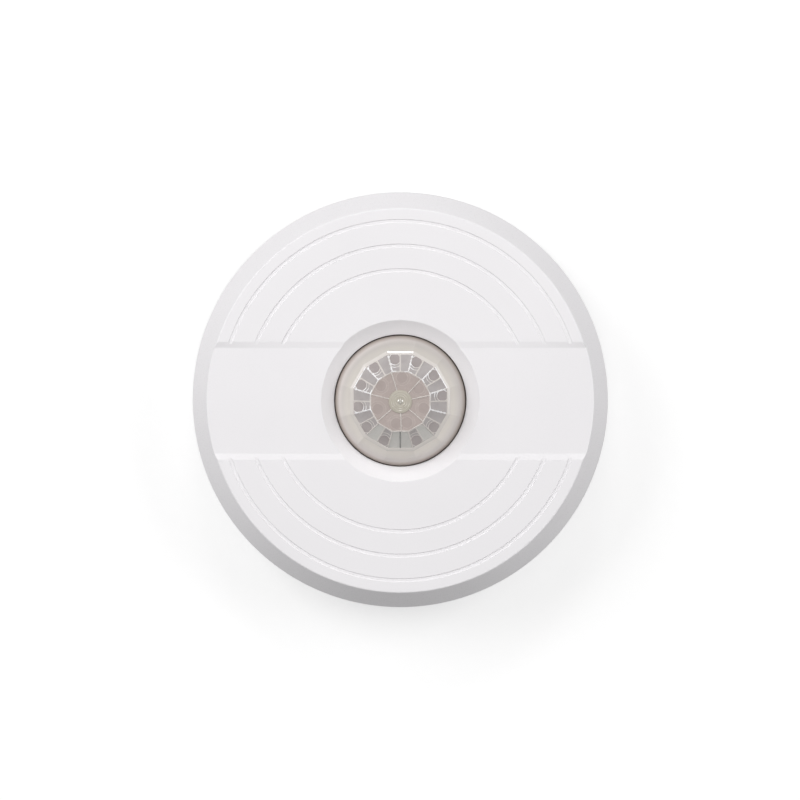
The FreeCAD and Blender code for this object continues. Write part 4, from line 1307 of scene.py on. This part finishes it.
@dataclass
class Studio:
    """The plain pale floor, soft lights and camera, in metres."""

    fill: float = 0.3
    bounce: float = 0.46
    floor_tones: Point = (0.56, 0.54)
    floor_lift: float = 0.52
    floor_size: float = 8.0
    reach: float = 1.3
    aim_z: float = 0.02
    distance: float = 1.2
    camera_lift: float = 0.035
    foot_radius: float = 0.0647
    foot_level: float = 0.0173
    photo_radius: float = 207.6
    photo_shift: float = -0.3

    def surroundings(self) -> None:
        """A world that is white where it is seen or mirrored, and a dimmer even light elsewhere."""
        world = bpy.data.worlds.new("studio_world")
        bpy.context.scene.world = world
        world.use_nodes = True
        tree = world.node_tree
        tree.nodes.clear()
        output = tree.nodes.new("ShaderNodeOutputWorld")
        background = tree.nodes.new("ShaderNodeBackground")
        background.inputs["Color"].default_value = (1, 1, 1, 1)
        path = tree.nodes.new("ShaderNodeLightPath")
        camera, glossy, through = (Signal(tree, path.outputs[f"Is {kind} Ray"])
                                   for kind in ("Camera", "Glossy", "Transmission"))
        seen = camera.maths("MAXIMUM", glossy).maths("MAXIMUM", through)
        strength = seen * (1 - self.fill) + self.fill
        tree.links.new(strength.socket, background.inputs["Strength"])
        tree.links.new(background.outputs[0], output.inputs["Surface"])

    def floor(self) -> None:
        """A wide pale floor that keeps the detector's shadow."""
        Bench.clear()
        bpy.ops.mesh.primitive_plane_add(size=self.floor_size, location=(0, 0, -0.0002))
        floor = Bench.settle(Bench.name("floor"))
        paint = Paint("studio_floor")
        speck = paint.noise(4.0, detail=2.0)
        seen = paint.node("LightPath", output="Is Camera Ray")
        pale = paint.mix(speck, *((tone,) * 3 for tone in self.floor_tones))
        dim, none, lift = ((tone,) * 3 for tone in (self.bounce, 0.0, self.floor_lift))
        paint.set(Base_Color=paint.mix(seen, dim, pale), Roughness=0.9, Emission_Strength=1.0,
                  Emission_Color=paint.mix(seen, none, lift))
        Bench.coat(floor, paint.material)

    def lamp(self, label: str, turn: float, rise: float, size: Point, share: float,
             reach: Optional[float] = None) -> None:
        """Adds a rectangular soft light that faces the detector.

        Args:
            label: Its name.
            turn: The direction it stands in, in degrees from +X towards +Y.
            rise: How far it stands above the plane of the face, in degrees.
            size: Its width and height in metres.
            share: How bright it makes a white surface that faces it.
            reach: How far away it stands, in metres.
        """
        reach = reach or self.reach
        across, up = math.radians(turn), math.radians(rise)
        aim = Vector((0, 0, self.aim_z))
        level = math.cos(up)
        place = aim + reach * Vector((level * math.cos(across), level * math.sin(across), math.sin(up)))
        data = bpy.data.lights.new(label, "AREA")
        data.shape = "RECTANGLE"
        data.size, data.size_y = size
        data.energy = share * math.pi ** 2 * reach ** 2
        lamp = bpy.data.objects.new(label, data)
        lamp.location = place
        lamp.rotation_euler = (aim - place).to_track_quat("-Z", "Y").to_euler()
        bpy.context.scene.collection.objects.link(lamp)

    def camera(self) -> None:
        """The camera straight in front of the face, with the object as large as in the photograph."""
        wanted = self.photo_radius / IMAGE_PIXELS
        data = bpy.data.cameras.new("camera")
        data.sensor_width = data.sensor_height = 36.0
        data.sensor_fit = "HORIZONTAL"
        data.lens = data.sensor_width * wanted * (self.distance - self.foot_level) / self.foot_radius
        data.shift_x = self.photo_shift / IMAGE_PIXELS
        camera = bpy.data.objects.new("camera", data)
        camera.location = (0, self.camera_lift, self.distance)
        camera.rotation_euler = (-math.atan2(self.camera_lift, self.distance - self.foot_level), 0, 0)
        bpy.context.scene.collection.objects.link(camera)
        bpy.context.scene.camera = camera
        bpy.context.scene.view_settings.view_transform = "Standard"

    def build(self) -> None:
        """Makes all of it."""
        self.surroundings()
        self.floor()
        self.camera()
        self.lamp("top_light", 90, 36, (0.36, 0.16), 0.12)
        self.lamp("left_light", 150, 36, (0.9, 0.7), 0.53)
        self.lamp("right_light", 18, 36, (0.8, 0.6), 0.37)
        self.lamp("low_light", 270, 60, (0.5, 0.3), 0.065)
        self.lamp("overhead_light", 90, 77, (1.0, 0.5), 0.07, 1.6)


@dataclass(frozen=True)
class BoardLaminate:
    """Green solder mask over woven glass, with the bare yellow weave on the cut edge."""

    mask: Colour = srgb(28, 104, 62)
    mask_dark: Colour = srgb(20, 84, 50)
    edge: Colour = srgb(196, 186, 128)
    weave: float = 0.5
    low_z: float = 7.4
    high_z: float = 9.0

    def make(self) -> Finish:
        """Builds the material."""
        paint = Paint("board_laminate")
        x, y, z = paint.axes()
        threads = (x * (FULL_TURN / self.weave)).maths("SINE") * (y * (FULL_TURN / self.weave)).maths("SINE")
        cloud = paint.noise(5.0, detail=3.0)
        half = (self.high_z - self.low_z) / 2
        level = (z - (self.low_z + self.high_z) / 2).maths("ABSOLUTE").above(half - 0.01)
        green = paint.mix((threads * 0.2 + cloud).clamped(), self.mask_dark, self.mask)
        paint.set(Base_Color=paint.mix(level, self.edge, green), Roughness=0.62 - level * 0.36,
                  Coat_Weight=level * 0.6, Coat_Roughness=0.12)
        paint.bump(threads * 0.3 + cloud, 0.008)
        return paint.material


@dataclass(frozen=True)
class LeggedResin:
    """Black moulded resin whose legs, tabs or caps are tinned metal."""

    name: str
    centre: float
    half: float
    along: int = 1
    resin: Colour = srgb(38, 37, 38)
    metal: Colour = srgb(206, 204, 200)

    def make(self) -> Finish:
        """Builds the material."""
        paint = Paint(self.name)
        away = (paint.axes()[self.along] - self.centre).maths("ABSOLUTE")
        bare = away.above(self.half)
        speck = paint.noise(0.12, detail=3.0)
        worn = tuple(c * 1.5 for c in self.resin)
        resin = paint.mix(speck, self.resin, worn)
        paint.set(Base_Color=paint.mix(bare, resin, self.metal), Metallic=bare,
                  Roughness=0.6 - bare * 0.3 + (speck - 0.5) * 0.15)
        paint.bump(speck, 0.005)
        return paint.material


@dataclass(frozen=True)
class ChipCeramic:
    """The body of small chip parts with tinned caps on both ends."""

    name: str
    rows: tuple[float, ...]
    body: Colour
    top: Colour
    top_z: float
    cap: float = 0.66

    def make(self) -> Finish:
        """Builds the material."""
        paint = Paint(self.name)
        _, y, z = paint.axes()
        away = (y - self.rows[0]).maths("ABSOLUTE")
        for row in self.rows[1:]:
            away = away.maths("MINIMUM", (y - row).maths("ABSOLUTE"))
        capped = away.above(self.cap)
        upper = z.above(self.top_z)
        speck = paint.noise(0.2, detail=3.0)
        body = paint.mix(upper, self.body, self.top)
        worn = paint.mix(speck * 0.4, body, srgb(120, 118, 114))
        paint.set(Base_Color=paint.mix(capped, worn, srgb(214, 212, 208)), Metallic=capped,
                  Roughness=0.5 - capped * 0.18 + (speck - 0.5) * 0.1)
        paint.bump(speck, 0.004)
        return paint.material


@dataclass(frozen=True)
class SleevedCan:
    """A capacitor's printed sleeve, open round its aluminium top."""

    places: tuple[Point, ...]
    top_z: float = 16.64
    open_r: float = 2.6
    apart: float = 3.6
    mark_from: float = 0.86
    sleeve: Colour = srgb(34, 40, 62)
    stripe: Colour = srgb(186, 190, 200)

    def make(self) -> Finish:
        """Builds the material."""
        paint = Paint("capacitor_sleeve")
        x, y, z = paint.axes()
        spans, turns = [], []
        for cx, cy in self.places:
            dx, dy = x - cx, y - cy
            spans.append((dx * dx + dy * dy) ** 0.5)
            turns.append(dx / (spans[-1] + 0.01))
        near = spans[0].maths("LESS_THAN", self.apart)
        span = spans[0].maths("MINIMUM", spans[1])
        turn = turns[0] * near + turns[1] * (1 - near)
        bare = (1 - span.above(self.open_r)) * z.above(self.top_z)
        mark = (0 - turn).above(self.mark_from) * (1 - bare)
        speck = paint.noise(0.3, detail=3.0)
        dull = tuple(c * 1.35 for c in self.sleeve)
        sleeve = paint.mix(mark, paint.mix(speck, self.sleeve, dull), self.stripe)
        paint.set(Base_Color=paint.mix(bare, sleeve, srgb(212, 213, 215)), Metallic=bare,
                  Roughness=0.36 - bare * 0.06 + (speck - 0.5) * 0.08)
        paint.bump(speck, 0.006)
        return paint.material


@dataclass(frozen=True)
class FilterGlass:
    """The dark coated window of the sensor."""

    colour: Colour = srgb(62, 50, 58)
    sheen: Colour = srgb(92, 66, 92)

    def make(self) -> Finish:
        """Builds the material."""
        paint = Paint("filter_window")
        cloud = paint.noise(2.5, detail=1.0)
        paint.set(Base_Color=paint.mix(cloud, self.colour, self.sheen), Roughness=0.08 + cloud * 0.05,
                  Coat_Weight=0.8, IOR=1.9)
        paint.bump(cloud, 0.002)
        return paint.material


@dataclass(frozen=True)
class LampResin:
    """The tinted resin of the walk-test lamp, deeper towards its foot."""

    colour: Colour = srgb(206, 38, 34)
    deep: Colour = srgb(140, 18, 20)
    foot_z: float = 9.0
    height: float = 4.6

    def make(self) -> Finish:
        """Builds the material."""
        paint = Paint("lamp_resin")
        _, _, z = paint.axes()
        rise = ((z - self.foot_z) * (1 / self.height)).clamped()
        cloud = paint.noise(0.8, detail=2.0)
        paint.set(Base_Color=paint.mix((rise + (cloud - 0.5) * 0.3).clamped(), self.deep, self.colour),
                  Roughness=0.12 + cloud * 0.06, Coat_Weight=0.8, IOR=1.54)
        paint.bump(cloud, 0.004)
        return paint.material


@dataclass
class Electronics:
    """The base, the board and all that stands on it: CAD nodes with their finishes."""

    tin: Colour = srgb(208, 206, 202)
    zinc: Colour = srgb(196, 198, 200)
    nickel: Colour = srgb(204, 200, 192)

    def finishes(self) -> dict[str, Finish]:
        """Each CAD node's finish, by the node's name."""
        def case(name: str, colour: Rgb, shade: Rgb, **look: float) -> Finish:
            """A matt moulding's finish, from its lighter and darker display colours."""
            return MattPlastic(name, srgb(*colour), srgb(*shade), **look).make()

        screws = PlatedMetal("screw_steel", self.zinc, roughness=0.3).make()
        capacitors = SleevedCan(((2.009, 30.996), (-7.011, 30.012))).make()
        sliders = case("slider_plastic", (236, 234, 228), (222, 220, 212), roughness=0.4)
        return {
            "base_plate": case("inner_plastic", (234, 232, 229), (224, 222, 218)),
            "lens_ring": case("ring_plastic", (228, 227, 225), (216, 215, 212)),
            "circuit_board": BoardLaminate().make(),
            "board_screws": screws,
            "lens_screws": screws,
            "sensor_spacer": case("spacer_plastic", (46, 46, 48), (36, 36, 38), depth=0.01),
            "sensor_header": PlatedMetal("header_metal", self.nickel, roughness=0.3).make(),
            "sensor_can": PlatedMetal("can_metal", self.nickel, roughness=0.22, stretch=(1, 1, 10)).make(),
            "sensor_window": FilterGlass().make(),
            "terminal_housing": case("terminal_plastic", (52, 126, 84), (42, 108, 70), grain=0.4),
            "terminal_clamps": PlatedMetal("clamp_metal", self.tin, roughness=0.34).make(),
            "terminal_screws": screws,
            "relay": case("relay_case", (44, 44, 46), (34, 34, 36), roughness=0.4, coat=0.2),
            "tamper_switch_body": case("switch_case", (50, 50, 52), (40, 40, 42), roughness=0.5),
            "tamper_plunger": case("plunger_plastic", (190, 52, 44), (164, 42, 36), roughness=0.4),
            "trimmer_body": case("trimmer_case", (44, 82, 156), (36, 68, 132), roughness=0.42),
            "trimmer_rotor": case("rotor_plastic", (238, 236, 230), (224, 221, 213), roughness=0.4),
            "option_switch_body": case("option_case", (172, 44, 40), (150, 36, 34), roughness=0.42),
            "option_slider_1": sliders,
            "option_slider_2": sliders,
            "walk_test_led": LampResin().make(),
            "control_chip": LeggedResin("control_resin", -4.018, 1.96).make(),
            "amplifier_chip": LeggedResin("amplifier_resin", -7.995, 1.96).make(),
            "voltage_regulator": LeggedResin("regulator_resin", 13.6, 3.0, along=2).make(),
            "protection_diode": LeggedResin("diode_resin", 23.985, 2.16, along=0).make(),
            "reservoir_capacitor_1": capacitors,
            "reservoir_capacitor_2": capacitors,
            "chip_resistors": ChipCeramic("resistor_film", (-13.489, 0.0, 9.512), srgb(226, 224, 218),
                                          srgb(30, 30, 32), 9.45).make(),
            "chip_capacitors": ChipCeramic("ceramic", (-17.999, 13.981), srgb(196, 166, 124),
                                           srgb(200, 172, 130), 9.9).make(),
        }

    def dress(self) -> None:
        """Gives every CAD node that stays in view its finish."""
        finishes = self.finishes()
        for name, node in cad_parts.items():
            if name in finishes:
                Bench.coat(node, finishes[name])
                LOG.info("%s: %s", name, finishes[name].name)


@dataclass
class BoardDetail:
    """What is etched, soldered and printed on the board: tracks, pads, solder, vias and outlines."""

    top_z: float = 9.0
    copper: float = 0.05
    track: float = 0.45
    pitch: float = 1.27
    chips: tuple[tuple[float, float, int], ...] = ((-13.981, -4.018, 7), (15.006, -7.995, 4))
    leg_reach: float = 2.75
    leg_pad: float = 0.35
    small_reach: float = 1.15
    small_wide: float = 2.1
    rim_r: float = 39.2
    rim_half: float = 0.5
    ink_half: float = 0.09
    ink_height: float = 0.025
    small_rows: tuple[tuple[float, float, int], ...] = (
        (-7.995, -13.489, 5), (18.491, 0.0, 3), (-10.004, 9.512, 3), (-5.986, -17.999, 4),
        (-9.512, 13.981, 3))
    row_pitch: float = 2.6
    routes: tuple[tuple[Point, ...], ...] = (
        ((28.4, 12.7), (26.6, 14.5), (26.6, 20.6)),
        ((28.4, 7.6), (24.6, 7.6), (15.4, 16.8), (15.4, 21.4), (13.2, 23.6)),
        ((28.4, 2.5), (25.2, 2.5), (25.2, 5.6), (13.4, 5.6), (11.6, 7.4)),
        ((28.4, -2.5), (24.0, -2.5), (21.2, -5.3), (16.9, -5.3)),
        ((28.4, -7.6), (25.0, -7.6), (19.2, -13.4), (19.2, -17.0), (12.6, -23.6)),
        ((28.4, -12.7), (26.0, -15.1), (26.0, -19.0), (14.8, -30.2)),
        ((-17.8, -1.3), (-17.8, 5.2), (-21.5, 8.9), (-21.5, 11.4)),
        ((-15.3, -1.3), (-15.3, 4.4), (-18.4, 7.5), (-18.4, 11.4)),
        ((-12.7, -1.3), (-12.7, 5.2), (-10.0, 7.9)),
        ((-10.2, -1.3), (-10.2, 1.6), (-6.4, 5.4), (-4.8, 7.0), (-4.8, 8.0)),
        ((-17.8, -6.8), (-17.8, -10.6), (-20.6, -13.4), (-20.6, -15.8)),
        ((-15.3, -6.8), (-15.3, -20.4), (-9.4, -26.3)),
        ((-12.7, -6.8), (-12.7, -21.4), (-8.0, -26.1)),
        ((-10.2, -6.8), (-10.2, -9.8), (-8.0, -12.0)),
        ((13.1, -10.7), (13.1, -13.0), (7.6, -18.5), (7.6, -23.4)),
        ((15.6, -10.7), (15.6, -15.0), (10.4, -20.2), (10.4, -23.4)),
        ((13.1, -5.3), (13.1, -3.6), (9.6, -0.1), (6.0, -0.1)),
        ((18.5, 1.3), (18.5, 9.6), (8.6, 19.5), (8.6, 22.4)),
        ((2.0, 27.6), (2.0, 21.0), (-7.4, 11.6)),
        ((-7.0, 26.4), (-7.0, 19.0), (-9.5, 16.5), (-9.5, 15.4)),
    )
    vias: tuple[Point, ...] = (
        (26.6, 17.2), (20.2, 12.0), (25.2, 4.1), (22.6, -3.9), (22.1, -10.5), (26.0, -17.2), (-17.8, 2.4),
        (-12.7, 2.2), (-15.3, -14.0), (-12.7, -11.6), (9.6, -16.5), (12.0, 16.1), (2.0, 24.0), (-7.0, 22.0),
        (-28.0, 2.0), (-30.5, -6.0), (-27.0, -11.5), (22.0, -21.5), (2.4, -20.6), (-3.4, 15.4))
    frames: tuple[tuple[float, float, float, float], ...] = (
        (-22.017, 17.015, 8.0, 5.6), (-13.981, -4.018, 5.4, 4.1), (15.006, -7.995, 3.4, 4.1),
        (23.985, 22.017, 4.0, 1.9), (33.0, 0.0, 4.6, 16.4))
    rings: tuple[Spot, ...] = ((0.0, 0.0, 5.7), (2.009, 30.996, 3.9), (-7.011, 30.012, 3.9))
    rim_tracks: tuple[Point, ...] = ((70.0, 112.0), (128.0, 172.0), (188.0, 232.0), (248.0, 292.0))

    def strip(self, label: str, outline: Sequence[Point], height: float) -> Piece:
        """A flat piece on the board, drawn as an outline, filled and raised.

        Args:
            label: Its name.
            outline: The x and y of its corners.
            height: How far it stands above the board.

        Returns:
            The piece.
        """
        piece = Bench.draw(label, outline)
        bpy.ops.mesh.edge_face_add()
        Bench.extrude(0, -height, 0)
        Bench.leave(piece)
        piece.data.transform(shift(0, 0, self.top_z) @ Matrix.Rotation(-math.pi / 2, 4, "X"))
        return piece

    @staticmethod
    def sides(path: Sequence[Point], half: float) -> list[Point]:
        """The outline of a line of some width, mitred at its bends."""
        left, right = [], []
        for n, spot in enumerate(path):
            here = Vector(spot)
            back = (here - Vector(path[n - 1])).normalized() if n else None
            on = (Vector(path[n + 1]) - here).normalized() if n < len(path) - 1 else None
            along = ((back or on) + (on or back)).normalized()
            out = Vector((-along.y, along.x)) * (half / max(along.dot(on or back), 0.3))
            left.append((here.x + out.x, here.y + out.y))
            right.append((here.x - out.x, here.y - out.y))
        return left + right[::-1]

    def tracks(self) -> list[Piece]:
        """The tracks under the solder mask."""
        pieces = [self.strip(f"track_{n}", self.sides(path, self.track / 2), self.copper)
                  for n, path in enumerate(self.routes)]
        for n, (start, end) in enumerate(self.rim_tracks):
            path = arc((0, 0), self.rim_r, start, end, 24)
            pieces.append(self.strip(f"rim_track_{n}", self.sides(path, self.rim_half), self.copper))
        return pieces

    def solder(self) -> list[Piece]:
        """The tinned pads with their solder, and the vias."""
        pad = Bench.box("pad", (-0.31, -0.75, self.top_z), (0.31, 0.75, self.top_z + 0.06))
        Bench.soften(pad, 0.02, 1)
        mound = Bench.box("mound", (-0.24, -0.3, self.top_z + 0.05), (0.24, 0.3, self.top_z + 0.3))
        Bench.hold(mound)
        bpy.ops.object.mode_set(mode="EDIT")
        Bench.pick(mound, lambda spot, normal: normal.z > 0.9)
        bpy.ops.transform.resize(value=(0.6, 0.3, 1), center_override=(0, -0.12 * MM, self.top_z * MM))
        bpy.ops.object.mode_set(mode="OBJECT")
        Bench.soften(mound, 0.05, 2, 20)
        joint = Bench.join("joint", [pad, mound])
        pieces = []

        def place(x: float, y: float, side: int, wide: float) -> None:
            """Puts a copy of the soldered pad somewhere, with its mound on the outer side."""
            change = shift(x, y) @ Matrix.Diagonal((wide, side, 1, 1))
            pieces.append(Bench.copy(joint, f"joint_{len(pieces)}", change))
            if side < 0:
                pieces[-1].data.flip_normals()

        rows = [(x - (count - 1) / 2 * self.pitch, y, count, self.pitch, self.leg_reach + self.leg_pad, 1.0)
                for x, y, count in self.chips]
        rows += [(*row, self.row_pitch, self.small_reach, self.small_wide) for row in self.small_rows]
        for x, y, count, pitch, reach, wide in rows:
            for n in range(count):
                for side in (1, -1):
                    place(x + n * pitch, y + side * reach, side, wide)
        bpy.data.objects.remove(joint)
        top = self.top_z + self.copper + 0.02
        via = Bench.turn("via", [(0.22, self.top_z), (0.55, self.top_z), (0.5, top), (0.27, top)], 16)
        pieces += [Bench.copy(via, f"via_{n}", shift(*spot)) for n, spot in enumerate(self.vias)]
        bpy.data.objects.remove(via)
        return pieces

    def printed_lines(self) -> list[Piece]:
        """The white printed outlines round the components."""
        pieces, high, half = [], self.top_z + self.ink_height, self.ink_half
        for n, (x, y, wide, deep) in enumerate(self.frames):
            outer = Bench.box(f"frame_{n}", (x - wide, y - deep, self.top_z), (x + wide, y + deep, high))
            wide, deep = wide - 2 * half, deep - 2 * half
            inner = Bench.box("inner", (x - wide, y - deep, self.top_z - 1), (x + wide, y + deep, high + 1))
            Bench.cut(outer, inner)
            pieces.append(outer)
        for n, (x, y, radius) in enumerate(self.rings):
            ring = Bench.turn(f"ring_{n}", [(radius - half, self.top_z), (radius + half, self.top_z),
                                            (radius + half, high), (radius - half, high)], 48)
            ring.data.transform(shift(x, y))
            pieces.append(ring)
        return pieces

    def build(self) -> None:
        """Makes the pieces and gives them to the base body."""
        track = MattPlastic("board_track", srgb(44, 134, 82), srgb(36, 120, 72), roughness=0.28,
                            coat=0.6).make()
        tin = PlatedMetal("solder_tin", srgb(208, 208, 205), roughness=0.24, stretch=(1, 1, 1)).make()
        ink = MattPlastic("board_print", srgb(226, 228, 222), srgb(208, 212, 205), roughness=0.6).make()
        for label, pieces, finish, slot in (
                ("board_tracks", self.tracks(), track, "board_laminate"),
                ("board_solder", self.solder(), tin, "clamp_metal"),
                ("board_print", self.printed_lines(), ink, "board_laminate")):
            piece = Bench.smooth(Bench.join(label, pieces), 30)
            Bench.coat(piece, finish)
            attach(piece, "base")
            LOG.info("%s: %d faces", label, len(piece.data.polygons))


def main() -> None:
    """Builds the dressed detector."""
    logging.basicConfig(level=logging.INFO, format="%(message)s")
    Electronics().dress()
    BoardDetail().build()
    cover = Cover()
    cover.build(GlossCover().make())
    Lens(seat_z=cover.seat_z, lip_z=cover.lip_z, aperture=cover.collar.aperture).build()
    Studio().build()


if __name__ == "__main__":
    main()
